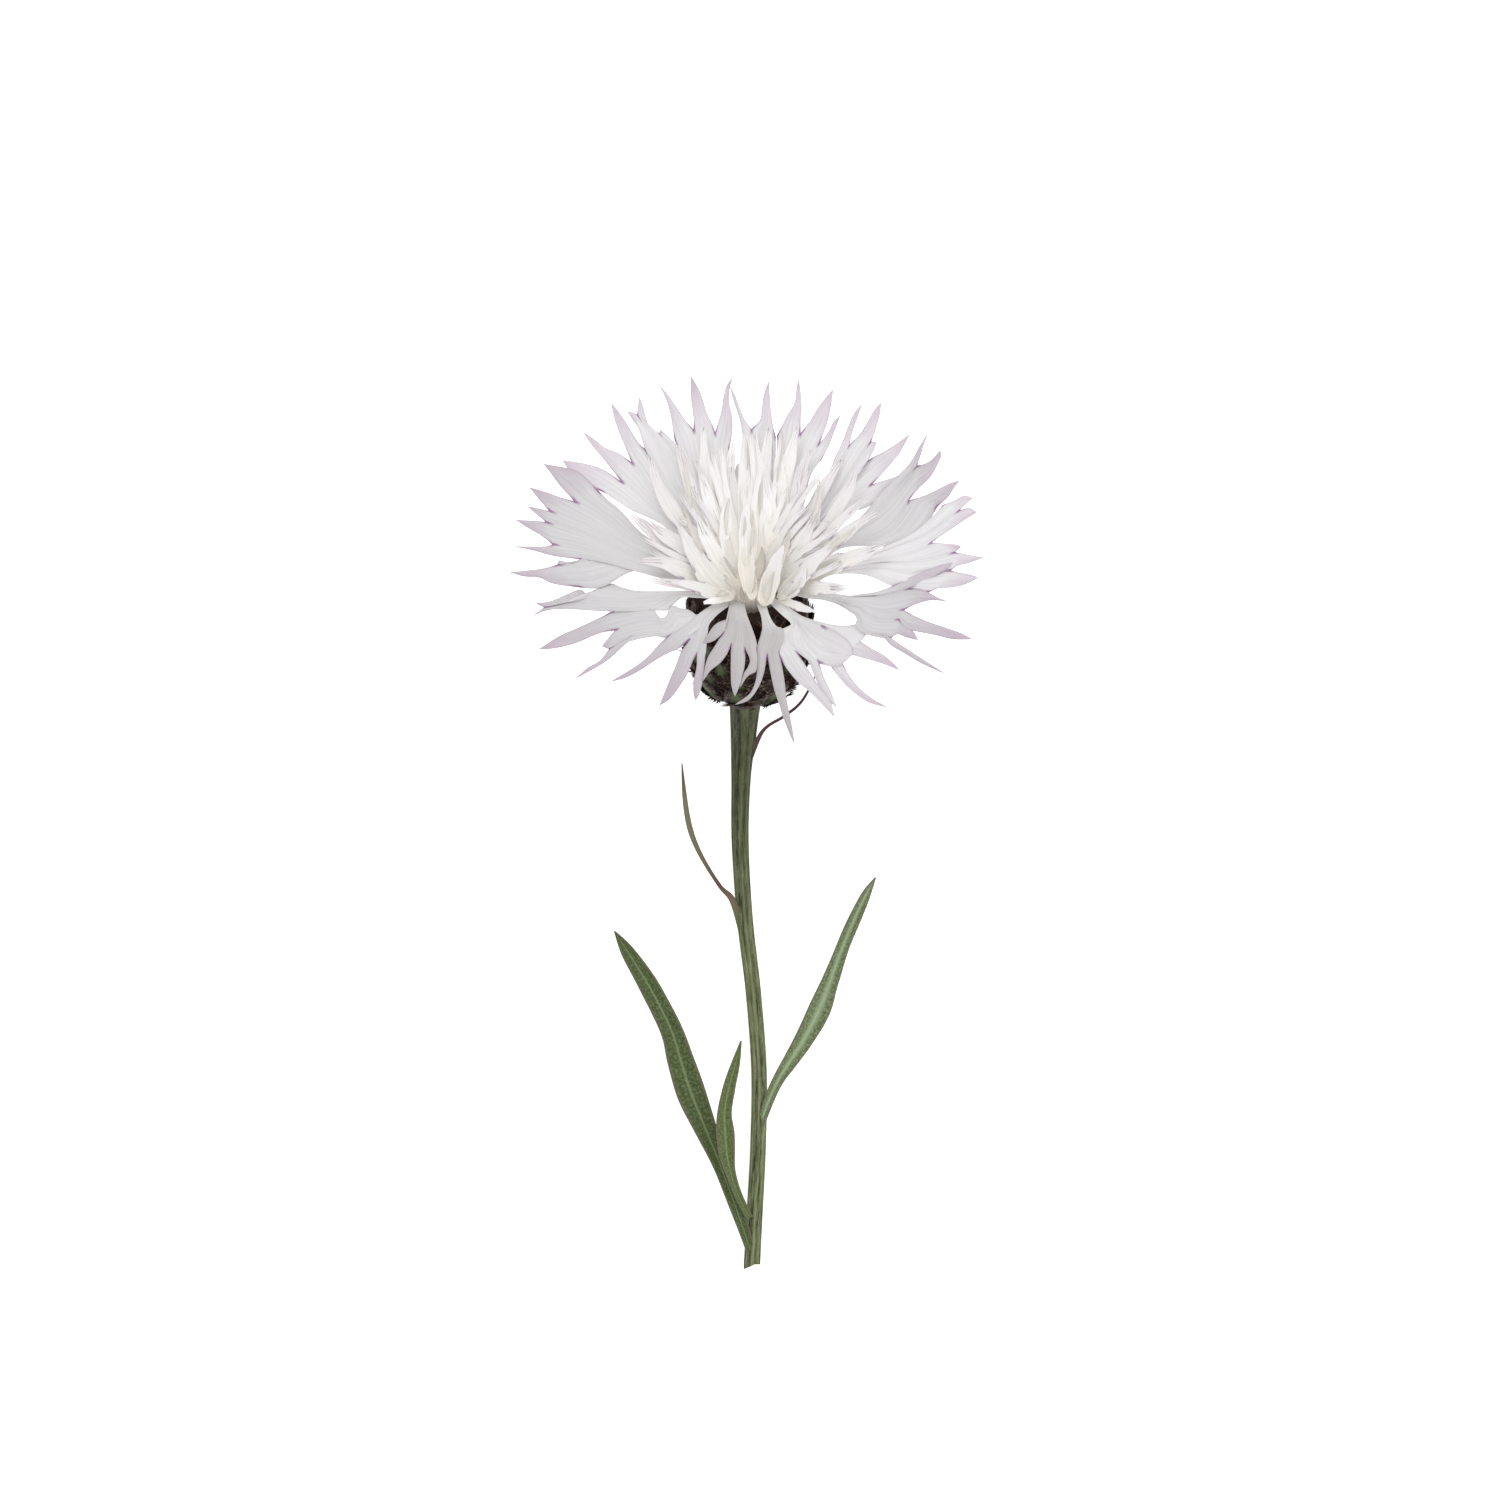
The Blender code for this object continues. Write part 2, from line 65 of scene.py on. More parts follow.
# The table, the light and the camera.
# A matt white table top under a soft overcast light, and a camera that looks straight down from far off.
MOUTH = np.array((0.1, 27.8, 16.0))  # the middle of the flower head's mouth, where all florets come out
PHOTO_SIDE = 1499  # pixels
PIXELS_PER_MM = 7.85
MOUTH_PIXEL = (748, 600)  # from the photo's top left corner
CAMERA_HEIGHT = 1600
CAMERA_SEES = 10  # metres
SENSOR_WIDTH = 36
TABLE_SIDE = 3000
TABLE_WHITE = "F2F2F2"
TABLE_GLOW = 0.75
SKY_WHITE = "FBFBFF"
SKY_STRENGTH = 0.74


def to_linear(srgb_hex):
    """A hex colour as the linear red, green, blue and alpha that shaders take."""
    shares = [int(srgb_hex[start : start + 2], 16) / 255 for start in (0, 2, 4)]
    return (*(s / 12.92 if s <= 0.04045 else ((s + 0.055) / 1.055) ** 2.4 for s in shares), 1)


def add_node(tree, kind, inputs=(), stops=(), **settings):
    """Adds a node to a shader tree with its settings, its inputs and, for a colour ramp, its stops.

    Inputs go by name, or in the order of the node's sockets: factor, one, other for a Mix of colours, and
    value, from, from, to, to for a MapRange. Each is a value, a hex colour, a socket or a node.
    """
    node = tree.nodes.new("ShaderNode" + kind)
    if kind == "Mix":
        node.data_type = "RGBA"
    for name, value in settings.items():
        setattr(node, name, value)
    sockets = [socket for socket in node.inputs if socket.enabled]
    if isinstance(inputs, dict):
        named = {socket.name: socket for socket in sockets}
        sockets = [named[name] for name in inputs]
        inputs = inputs.values()
    for socket, value in zip(sockets, inputs):
        if isinstance(value, bpy.types.Node):
            value = next(output for output in value.outputs if output.enabled)
        if isinstance(value, bpy.types.NodeSocket):
            tree.links.new(value, socket)
        else:
            socket.default_value = to_linear(value) if isinstance(value, str) else value
    for position, colour in stops[1:-1]:
        node.color_ramp.elements.new(position).color = to_linear(colour)
    for end in (0, -1) if stops else ():
        node.color_ramp.elements[end].position = stops[end][0]
        node.color_ramp.elements[end].color = to_linear(stops[end][1])
    return node


def blank_material(name):
    """A new material without nodes, and its shader tree."""
    material = bpy.data.materials.new(name)
    material.use_nodes = True
    material.node_tree.nodes.clear()
    return material, material.node_tree


def add_object(name, data):
    """A new object in the scene, with this mesh, lamp or camera."""
    thing = bpy.data.objects.new(name, data)
    bpy.context.scene.collection.objects.link(thing)
    return thing


table_card, tree = blank_material("matt white card")
matt = {"Base Color": TABLE_WHITE, "Roughness": 0.9, "Specular IOR Level": 0.1}
glowing = {"Emission Color": TABLE_WHITE, "Emission Strength": TABLE_GLOW}
card = add_node(tree, "BsdfPrincipled", matt | glowing)
add_node(tree, "OutputMaterial", (card,))

half = TABLE_SIDE / 2 * MM
table_mesh = bpy.data.meshes.new("table_top")
corners = [(-half, -half, 0), (half, -half, 0), (half, half, 0), (-half, half, 0)]
table_mesh.from_pydata(corners, [], [(0, 1, 2, 3)])
table_mesh.materials.append(table_card)
table_top = add_object("table_top", table_mesh)
table_top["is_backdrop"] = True

sky = bpy.data.worlds.new("overcast light")
sky.use_nodes = True
background = sky.node_tree.nodes["Background"].inputs
background["Color"].default_value = to_linear(SKY_WHITE)
background["Strength"].default_value = SKY_STRENGTH
bpy.context.scene.world = sky


def add_softbox(name, place, side, power, colour):
    """A square lamp of that side, at place, that points at the table under the flower's middle."""
    lamp = bpy.data.lights.new(name, "AREA")
    lamp.size = side * MM
    lamp.energy = power
    lamp.color = to_linear(colour)[:3]
    softbox = add_object(name, lamp)
    softbox.location = [axis * MM for axis in place]
    softbox.rotation_mode = "QUATERNION"
    softbox.rotation_quaternion = softbox.location.to_track_quat("Z", "Y")


add_softbox("window_above", (-200, 520, 480), 320, 1.1, "FFFDF8")
add_softbox("window_right", (440, -160, 560), 400, 1.4, "FCFDFF")
add_softbox("window_in_front", (60, -60, 1100), 700, 1.8, "FFFFFF")

camera_data = bpy.data.cameras.new("camera")
camera = add_object("camera", camera_data)
bpy.context.scene.camera = camera
camera_right = MOUTH[0] + (PHOTO_SIDE / 2 - MOUTH_PIXEL[0]) / PIXELS_PER_MM
camera_back = MOUTH[1] + (MOUTH_PIXEL[1] - PHOTO_SIDE / 2) / PIXELS_PER_MM
camera.location = (camera_right * MM, camera_back * MM, CAMERA_HEIGHT * MM)
camera_data.sensor_width = SENSOR_WIDTH
camera_data.lens = SENSOR_WIDTH * (CAMERA_HEIGHT - MOUTH[2]) / (PHOTO_SIDE / PIXELS_PER_MM)
camera_data.clip_end = CAMERA_SEES
bpy.context.scene.view_settings.view_transform = "Standard"


# The stem.
# One green stalk, 2 mm thick, with low ribs along it, pale wool in the furrows and a slanted cut.
# It was pulled up by growth, not made: it wanders a little and swells under the head.
STEM_STATIONS = (  # (x, y, z, radius), x and y as seen from the mouth, z over the table
    (0.5, -85.4, 0.95, 0.98), (0.8, -79.7, 0.95, 0.96), (1.3, -69.9, 1.1, 0.94), (1.4, -60.3, 1.4, 0.93),
    (0.7, -50.4, 1.7, 0.92), (-0.4, -40.8, 1.9, 0.95), (-1.0, -31.0, 2.0, 1.02), (-0.9, -23.0, 2.2, 1.15),
    (-0.6, -17.5, 3.0, 1.50), (-0.4, -13.6, 5.0, 1.80), (-0.2, -11.2, 6.6, 2.1),
)
STEM_STEPS = 16  # between two stations
STEM_RIBS = 8
STEM_SIDES = STEM_RIBS * 8
STEM_RIB_HEIGHT = 0.09  # share of the radius
STEM_CUT_SLANT = 0.5
STEM_CLEARANCE = 0.02
CUT_DOME = 0.02


def smooth_path(stations, steps):
    """Points of a Catmull-Rom curve through stations, with so many steps between two."""
    stations = np.array(stations, dtype=float)
    padded = np.pad(stations, ((1, 1), (0, 0)), mode="edge")
    a, b, c, d = (padded[first : len(stations) - 1 + first, None] for first in range(4))
    t = (np.arange(steps) / steps)[:, None]
    path = 0.5 * (2 * b + (c - a) * t + (2 * a - 5 * b + 4 * c - d) * t**2 + (3 * b - a - 3 * c + d) * t**3)
    return np.concatenate((path.reshape(-1, stations.shape[1]), stations[-1:]))


def unit(vectors):
    """The same vectors, each made one long."""
    return vectors / np.maximum(np.linalg.norm(vectors, axis=-1, keepdims=True), 1e-9)


def distance_along(path):
    """How far along a path each of its points lies."""
    return np.concatenate(([0], np.cumsum(np.linalg.norm(np.diff(path, axis=0), axis=1))))


def grid_map(u, v):
    """The (u, v) of all points of a grid, from arrays that broadcast to it."""
    return np.stack(np.broadcast_arrays(u, v), axis=-1).reshape(-1, 2)


def grid_faces(rows, columns, start=0, closed=False):
    """Quads between rows of points that lie one after another. Closed joins the last column to the first."""
    faces = []
    for row in range(rows - 1):
        for column in range(columns if closed else columns - 1):
            beside = (column + 1) % columns
            low, high = start + row * columns, start + (row + 1) * columns
            faces.append((low + column, low + beside, high + beside, high + column))
    return faces


def add_piece(name, points, faces, uvs, materials, node, face_materials=None, thickness=None):
    """A piece that stands for a node of the solids: a smooth mesh, with a (u, v) for each of its points."""
    mesh = bpy.data.meshes.new(name)
    mesh.from_pydata((np.reshape(points, (-1, 3)) * MM).tolist(), [], faces)
    layer = mesh.uv_layers.new(name="growth")
    corners = np.empty(len(mesh.loops), dtype=np.int32)
    mesh.loops.foreach_get("vertex_index", corners)
    layer.data.foreach_set("uv", np.asarray(uvs, dtype=np.float32)[corners].ravel())
    for material in materials:
        mesh.materials.append(material)
    if face_materials is not None:
        mesh.polygons.foreach_set("material_index", np.asarray(face_materials, dtype=np.int32))
    mesh.shade_smooth()
    piece = add_object(name, mesh)
    if thickness:
        wall = piece.modifiers.new("Thickness", "SOLIDIFY")
        wall.thickness = thickness * MM
        wall.offset = 0
    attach(piece, "root")
    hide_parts(node)


def growth_map(tree):
    """The map of a piece in its material's tree: both parts together, then u and v alone."""
    grown = add_node(tree, "UVMap", uv_map="growth")
    split = add_node(tree, "SeparateXYZ", (grown,))
    return grown, split.outputs["X"], split.outputs["Y"]


def mottle(tree, grown, per_u, per_v, detail, roughness=0.5):
    """A skin's natural unevenness, stretched to so many spots across for each u and along it for each v."""
    stretched = add_node(tree, "VectorMath", (grown, (per_u, per_v, 1)), operation="MULTIPLY")
    spots = {"Vector": stretched, "Scale": 1.0, "Detail": detail, "Roughness": roughness}
    return add_node(tree, "TexNoise", spots)


def finish_skin(tree, colour, height, relief, depth, look):
    """Ends a skin's tree with its relief, which is depth mm deep, and the shader's settings."""
    bump = add_node(tree, "Bump", {"Height": height, "Strength": relief, "Distance": depth * MM})
    shader = add_node(tree, "BsdfPrincipled", {"Base Color": colour, "Normal": bump} | look)
    add_node(tree, "OutputMaterial", (shader,))


# The ribs are paler and yellower, with painted light where they catch it, and the furrows between them are
# deep green, with painted shade. Here u is the turn round the stem, and v the millimetres from the cut.
stem_green, tree = blank_material("woolly green stem skin")
grown, u, v = growth_map(tree)
ribbing = add_node(tree, "Math", (u, STEM_RIBS * math.pi), operation="MULTIPLY")
ribbing = add_node(tree, "Math", (ribbing,), operation="COSINE")
ribbing = add_node(tree, "Math", (ribbing,), operation="ABSOLUTE")
bands = add_node(tree, "MapRange", (mottle(tree, grown, 7, 0.05, 2), 0.3, 0.7, -0.6, 0.4))
ribbing = add_node(tree, "Math", (ribbing, bands), operation="ADD", use_clamp=True)
greens = ((0, "262C10"), (0.30, "343C17"), (0.62, "454D22"), (1, "636A41"))
skin = add_node(tree, "ValToRGB", (ribbing,), greens)
# Wool lies along it in streaks 0.3 mm wide and 4 mm long, drawn twice as coarse as they are to show at all.
streaks = mottle(tree, grown, 22, 0.25, 6, 0.85)
wool = add_node(tree, "MapRange", (streaks, 0.42, 0.64, 0, 0.65))
woolly = add_node(tree, "Mix", (wool, skin, "9CA37E"))
blush = add_node(tree, "MapRange", (mottle(tree, grown, 5, 0.12, 2), 0.55, 0.75, 0, 0.25))
blushed = add_node(tree, "Mix", (blush, woolly, "6E5560"))
# It is painted darker below the head, in the last third of its length, as the head's shade.
head_shade = add_node(tree, "MapRange", (v, 38, 62, 1.0, 0.5))
shaded = add_node(tree, "Mix", (1.0, blushed, head_shade), blend_type="MULTIPLY")
dull = {"Roughness": 0.6, "Specular IOR Level": 0.2}
sappy = {"Subsurface Weight": 0.08, "Subsurface Radius": (0.6 * MM, 0.8 * MM, 0.3 * MM)}
finish_skin(tree, shaded, streaks, 0.4, 0.08, dull | sappy)

# The cut shows moist, pale pith, whose cells are too fine to tell apart.
pith, tree = blank_material("pale cut pith")
cells = add_node(tree, "TexVoronoi", {"Scale": 9000.0})
shade = add_node(tree, "ValToRGB", (cells,), ((0, "C9CFA6"), (1, "8E9A62")))
shader = add_node(tree, "BsdfPrincipled", {"Base Color": shade, "Roughness": 0.45})
add_node(tree, "OutputMaterial", (shader,))

stem_path = smooth_path(STEM_STATIONS, STEM_STEPS)
middle = stem_path[:, :3] + MOUTH * (1, 1, 0)
along = unit(np.gradient(middle, axis=0))
side = unit(np.cross(along, (0, 0, 1)))
above = np.cross(side, along)
turn = np.linspace(0, 2 * math.pi, STEM_SIDES, endpoint=False)
rib = 1 + STEM_RIB_HEIGHT * (np.abs(np.cos(turn * STEM_RIBS / 2)) * 2 - 1)
ring = np.cos(turn)[None, :, None] * side[:, None, :] + np.sin(turn)[None, :, None] * above[:, None, :]
stem = middle[:, None, :] + ring * (stem_path[:, 3:] * rib)[:, :, None]
stem[0, :, 1] += STEM_CUT_SLANT * np.cos(turn)
stem[:, :, 2] = np.maximum(stem[:, :, 2], STEM_CLEARANCE)
cut_middle = stem[:1].mean(axis=1) - (0, CUT_DOME, 0)
points = np.concatenate((stem.reshape(-1, 3), cut_middle))
uvs = np.concatenate((grid_map(turn / (2 * math.pi), distance_along(middle)[:, None]), [(0.5, 0)]))
faces = grid_faces(len(stem), STEM_SIDES, closed=True)
cut_faces = [(side, len(points) - 1, (side + 1) % STEM_SIDES) for side in range(STEM_SIDES)]
kinds = [0] * len(faces) + [1] * len(cut_faces)
add_piece("stem", points, faces + cut_faces, uvs, (stem_green, pith), "stem", kinds)


# The leaves.
# Lance-shaped blades 0.2 mm thick, each folded along a pale midrib and greyish with fine down. They grow
# straight out of the stem, and their foot runs a little way down along it.
LEAF_THICKNESS = 0.22
LEAF_COLUMNS = 12
LEAF_STEPS = 8
LEAF_CLEARANCE = 0.15
STAINED_LENGTH = 25
EDGE_WAVE = 0.9  # radians for each mm along
WAVE_LAG = 1.3  # radians that one edge waves ahead of the middle and the other behind it
LEAVES = {  # name: (fold, waviness, stations of (x, y, z, half width) from the foot to the tip)
    "leaf_lower_left": (0.35, 0.10, (
        (0.5, -84.0, 1.6, 0.50), (-0.7, -80.3, 2.0, 0.72), (-2.3, -75.9, 2.1, 0.82),
        (-3.9, -71.6, 2.2, 1.00), (-5.7, -67.2, 2.0, 1.50), (-7.3, -63.2, 1.7, 1.85),
        (-8.6, -59.2, 1.4, 1.72), (-9.6, -55.8, 1.2, 1.45), (-11.1, -52.5, 1.1, 1.35),
        (-13.0, -49.0, 1.0, 1.25), (-15.5, -45.0, 0.8, 0.85), (-17.2, -42.4, 0.5, 0.06),
    )),
    "leaf_axil": (0.45, 0.08, (
        (0.2, -79.2, 2.4, 0.42), (-1.2, -76.4, 3.5, 0.48), (-2.2, -73.4, 4.1, 0.62),
        (-2.7, -70.9, 4.3, 1.00), (-2.9, -68.3, 4.4, 1.15), (-3.0, -65.6, 4.5, 0.90),
        (-2.4, -62.3, 4.7, 0.78), (-1.6, -59.4, 5.0, 0.55), (-0.9, -56.4, 5.3, 0.06),
    )),
    "leaf_right": (0.40, 0.10, (
        (1.2, -68.6, 1.6, 0.42), (2.5, -64.6, 2.1, 0.62), (3.9, -61.5, 2.4, 0.72), (5.4, -59.1, 2.5, 0.95),
        (7.3, -56.1, 2.4, 1.22), (9.2, -52.4, 2.1, 1.42), (10.5, -49.0, 1.8, 1.10),
        (12.0, -44.9, 1.5, 0.85), (13.5, -41.3, 1.3, 0.80), (15.1, -37.9, 1.0, 0.60),
        (16.4, -35.5, 0.6, 0.06),
    )),
    "leaf_upper_left": (0.30, 0.03, (
        (-0.5, -43.5, 2.0, 0.45), (-1.9, -38.6, 2.7, 0.40), (-3.6, -36.6, 3.0, 0.24),
        (-5.7, -33.3, 3.2, 0.26), (-7.1, -30.3, 3.1, 0.33), (-7.8, -27.6, 2.9, 0.34),
        (-8.2, -24.4, 2.5, 0.26), (-8.5, -20.8, 1.9, 0.05),
    )),
    "leaf_top_right": (0.20, 0.0, (
        (0.0, -20.6, 2.6, 0.45), (1.5, -17.3, 3.2, 0.26), (2.6, -16.0, 3.4, 0.19), (4.6, -14.8, 3.4, 0.18),
        (6.6, -13.2, 3.2, 0.17), (7.9, -11.2, 2.8, 0.13), (8.7, -9.4, 2.3, 0.05),
    )),
}


def leaf_material(name, blade, edge, midrib, midrib_width, stains=()):
    """Leaf skin: a soft pale midrib, faint side veins and a brown edge. The map is u across, v along in mm.

    Stains are colours along its first 25 mm, each (mm from the foot, colour).
    """
    material, tree = blank_material(name)
    grown, u, v = growth_map(tree)
    aside = add_node(tree, "Math", (u,), operation="ABSOLUTE")
    # Side veins slant to the tip, 1.8 mm apart.
    rows = add_node(tree, "Math", (aside, -2.2, v), operation="MULTIPLY_ADD")
    rows = add_node(tree, "Math", (rows, 3.4), operation="MULTIPLY")
    rows = add_node(tree, "Math", (rows,), operation="SINE")
    veins = add_node(tree, "MapRange", (rows, 0.75, 1.0, 0, 0.05))
    green = add_node(tree, "Mix", (mottle(tree, grown, 1.6, 0.55, 5), blade, edge))
    veined = add_node(tree, "Mix", (veins, green, midrib))
    rib = add_node(tree, "MapRange", (aside, 0.02, midrib_width, 0.8, 0))
    ribbed = add_node(tree, "Mix", (rib, veined, midrib))
    # Down, drawn twice as coarse as it is, in tufts of 0.4 mm.
    down = mottle(tree, grown, 4.5, 2.8, 4, 0.7)
    down_share = add_node(tree, "MapRange", (down, 0.44, 0.66, 0, 0.6))
    downy = add_node(tree, "Mix", (down_share, ribbed, midrib))
    brown_edge = add_node(tree, "MapRange", (aside, 0.80, 0.95, 0, 0.75))
    edged = add_node(tree, "Mix", (brown_edge, downy, "6E6256"))
    if stains:
        stained = add_node(tree, "MapRange", (v, 0, STAINED_LENGTH))
        stops = [(at / STAINED_LENGTH, colour) for at, colour in stains]
        stained = add_node(tree, "ValToRGB", (stained,), stops)
        edged = add_node(tree, "Mix", (0.75, edged, stained))
    height = add_node(tree, "Math", (veins, -1.5, down), operation="MULTIPLY_ADD")
    waxy = {"Roughness": 0.58, "Specular IOR Level": 0.25}
    sappy = {"Subsurface Weight": 0.06, "Subsurface Radius": (0.3 * MM, 0.5 * MM, 0.2 * MM)}
    finish_skin(tree, edged, height, 0.35, 0.08, waxy | sappy)
    return material


GREEN_FOOT = (0, "4C5A2C")
BROWN_FOOT = ((3.5, "56603A"), (5.5, "6A5644"), (8, "54342F"))
BROWNED = (GREEN_FOOT, *BROWN_FOOT, (14, "6E6E52"), (20, "767458"), (25, "5C3A38"))
MAROON = (GREEN_FOOT, (4, "5A3A38"), (8, "48202C"), (25, "3E1A26"))
LEAF_SKINS = {  # name: (skin, blade, edge, midrib, midrib's width as a share of the half width, stains)
    "leaf_lower_left": ("downy dark leaf skin", "2A3611", "48592B", "78865D", 0.16),
    "leaf_axil": ("young leaf skin", "3A4A1C", "586838", "828E60", 0.2),
    "leaf_right": ("sunlit leaf skin", "3C4D25", "627245", "9FAE8A", 0.5),
    "leaf_upper_left": ("browned leaf skin", "5A4C40", "7E7058", "8E8670", 0.3, BROWNED),
    "leaf_top_right": ("maroon leaf skin", "4E2A34", "6E4650", "7E5962", 0.3, MAROON),
}

for name, (fold, waviness, stations) in LEAVES.items():
    path = smooth_path(stations, LEAF_STEPS)
    along = unit(np.gradient(path[:, :3], axis=0))
    across = unit(np.cross((0, 0, 1), along))
    rise = np.cross(along, across)
    aside = np.linspace(-1, 1, LEAF_COLUMNS + 1)
    gone = distance_along(path[:, :3])[:, None]
    half = np.maximum(path[:, 3:], 0.02)
    trough = fold * (np.sqrt(aside**2 + 0.01) - 0.1)  # rounded at the midrib
    wave = waviness * np.sin(gone * EDGE_WAVE + WAVE_LAG * np.sign(aside)) * aside**2
    lift = half * trough + wave * np.minimum(half, 1)
    points = (path[:, None, :3] + MOUTH * (1, 1, 0)) + across[:, None, :] * (half * aside)[:, :, None]
    points = points + rise[:, None, :] * lift[:, :, None]
    points[:, :, 2] = np.maximum(points[:, :, 2], LEAF_CLEARANCE)
    faces = grid_faces(*points.shape[:2])
    skin = leaf_material(*LEAF_SKINS[name])
    add_piece(name, points, faces, grid_map(aside, gone), (skin,), name, None, LEAF_THICKNESS)


# The cup.
# A globe of bracts that overlap like tiles, each a green shield with a dark, dry edge that ends in a comb of
# teeth. It holds the florets together from below and is as hard as a small nut.
BLOOM_TILT = math.radians(50)
CUP_TILT = math.radians(40)
CUP_FOOT = -15.5  # height of its foot over the mouth, on its axis
CUP_RIM = 1.0
CUP_LENGTH = CUP_RIM - CUP_FOOT
CUP_RADIUS = 7.5
CUP_BELLY = ((0, 0.30), (0.06, 0.55), (0.18, 0.80), (0.35, 0.95), (0.55, 1))
CUP_OUTLINE = (*CUP_BELLY, (0.78, 1), (0.92, 0.97), (1, 0.90))  # (share of its length, share of its radius)
GLOBE_ROWS = 24
GLOBE_SIDES = 48
BRACT_ROWS = 7
FIRST_ROW = 0.02  # share of the cup's length
LAST_ROW = 0.78
BRACTS_IN_WIDEST_ROW = 11
FEWEST_BRACTS = 7
BRACT_LENGTH = 5.0
BRACT_WIDTH = 4.2
BRACT_LIFT = (0.5, 0.6, 0.4, 0.05)  # how far the point stands off the cup, in rows 0, 2, 4 and 6
BRACT_OFF = 0.12  # how far its foot stands off the globe
BRACT_VAULT = 0.18  # how far its middle bows out past its edges
BRACT_CLASP = 0.10  # how far the edges near its point turn in
BRACT_ACROSS = 8
BRACT_ALONG = 9
BRACT_TEETH = 20  # on each side of its point
FIRST_TOOTH = 0.35  # share of the bract's length
TOOTH_LENGTH = 1.4
TOOTH_HALF_WIDTH = 0.17
GREEN_BRACT = (2, 7)  # row and place of the one at the lower left, which is always green


def tilted(tilt, right, back, outward):
    """A point near the head, given along the axes of a head that is tilted up from the table by tilt."""
    y = back * math.sin(tilt) + outward * math.cos(tilt)
    z = outward * math.sin(tilt) - back * math.cos(tilt)
    return np.stack(np.broadcast_arrays(right, y, z), axis=-1) + MOUTH


def cup_surface(share, turn, off):
    """A point off the cup by off, at a share of its length from the foot."""
    radius = np.interp(share, *zip(*CUP_OUTLINE)) * CUP_RADIUS + off
    return tilted(CUP_TILT, radius * np.cos(turn), radius * np.sin(turn), CUP_FOOT + share * CUP_LENGTH)


def bract_outline(share):
    """Half width of a bract at a share of its length, as a share of its widest."""
    return np.sqrt(np.clip(1 - (share * 1.02 - 0.42) ** 2 / 0.36, 0, 1)) * (1 - 0.25 * share)


def bract_material(name, middle, rim_of_middle):
    """Bract skin: a smooth middle, a black line round it and a dry margin speckled in brown and tan."""
    material, tree = blank_material(name)
    # u runs from 0 in the middle of a bract to 1 at its edge, v along it from root to point.
    grown, u, v = growth_map(tree)
    edge = add_node(tree, "Math", (mottle(tree, grown, 2.0, 3.0, 4), 0.3, u), operation="MULTIPLY_ADD")
    line = ((0.50, rim_of_middle), (0.55, "0A0504"))
    margin = ((0.68, "24130F"), (0.82, "0E0706"), (1, "1C0D0B"))
    skin = add_node(tree, "ValToRGB", (edge,), ((0.30, middle), *line, *margin))
    # Dry fibres and flecks in the margin, drawn twice as coarse as they are, a third of a millimetre wide.
    flecks = mottle(tree, grown, 6, 9, 4, 0.75)
    fleck_share = add_node(tree, "MapRange", (flecks, 0.54, 0.62, 0, 0.85))
    in_margin = add_node(tree, "MapRange", (edge, 0.45, 0.56, 0.12, 1))
    fleck_share = add_node(tree, "Math", (fleck_share, in_margin), operation="MULTIPLY")
    flecked = add_node(tree, "Mix", (fleck_share, skin, "8C7461"))
    finish_skin(tree, flecked, flecks, 0.6, 0.12, {"Roughness": 0.6, "Specular IOR Level": 0.15})
    return material


green_bract = bract_material("green bract with dry brown margin", "454E33", "2A3319")
brown_bract = bract_material("dried brown bract", "33261D", "1C120D")

# Most teeth are nearly black, and one in four has dried to tan. Along each, u stays the same.
tooth_brown, tree = blank_material("dry brown teeth")
browns = ((0, "160908"), (0.60, "26120F"), (0.85, "46342B"), (1, "86705C"))
shade = add_node(tree, "ValToRGB", (growth_map(tree)[1],), browns)
dry = {"Base Color": shade, "Roughness": 0.65, "Specular IOR Level": 0.15}
shader = add_node(tree, "BsdfPrincipled", dry)
add_node(tree, "OutputMaterial", (shader,))
BROWN = 1  # places in the cup's list of materials
TOOTH = 2

# The globe that the bracts cover, closed at both ends by a point.
shares = np.linspace(0, 1, GLOBE_ROWS)[:, None]
turns = np.linspace(0, 2 * math.pi, GLOBE_SIDES, endpoint=False)[None, :]
globe = cup_surface(shares, turns, 0.0)
points = globe.reshape(-1, 3).tolist()
faces = grid_faces(GLOBE_ROWS, GLOBE_SIDES, closed=True)
for end in (0, GLOBE_ROWS - 1):
    points.append(globe[end].mean(axis=0).tolist())
    first, tip = end * GLOBE_SIDES, len(points) - 1
    faces += [(first + side, first + (side + 1) % GLOBE_SIDES, tip) for side in range(GLOBE_SIDES)]
uvs = [(0.9, 0.5)] * len(points)
kinds = [BROWN] * len(faces)

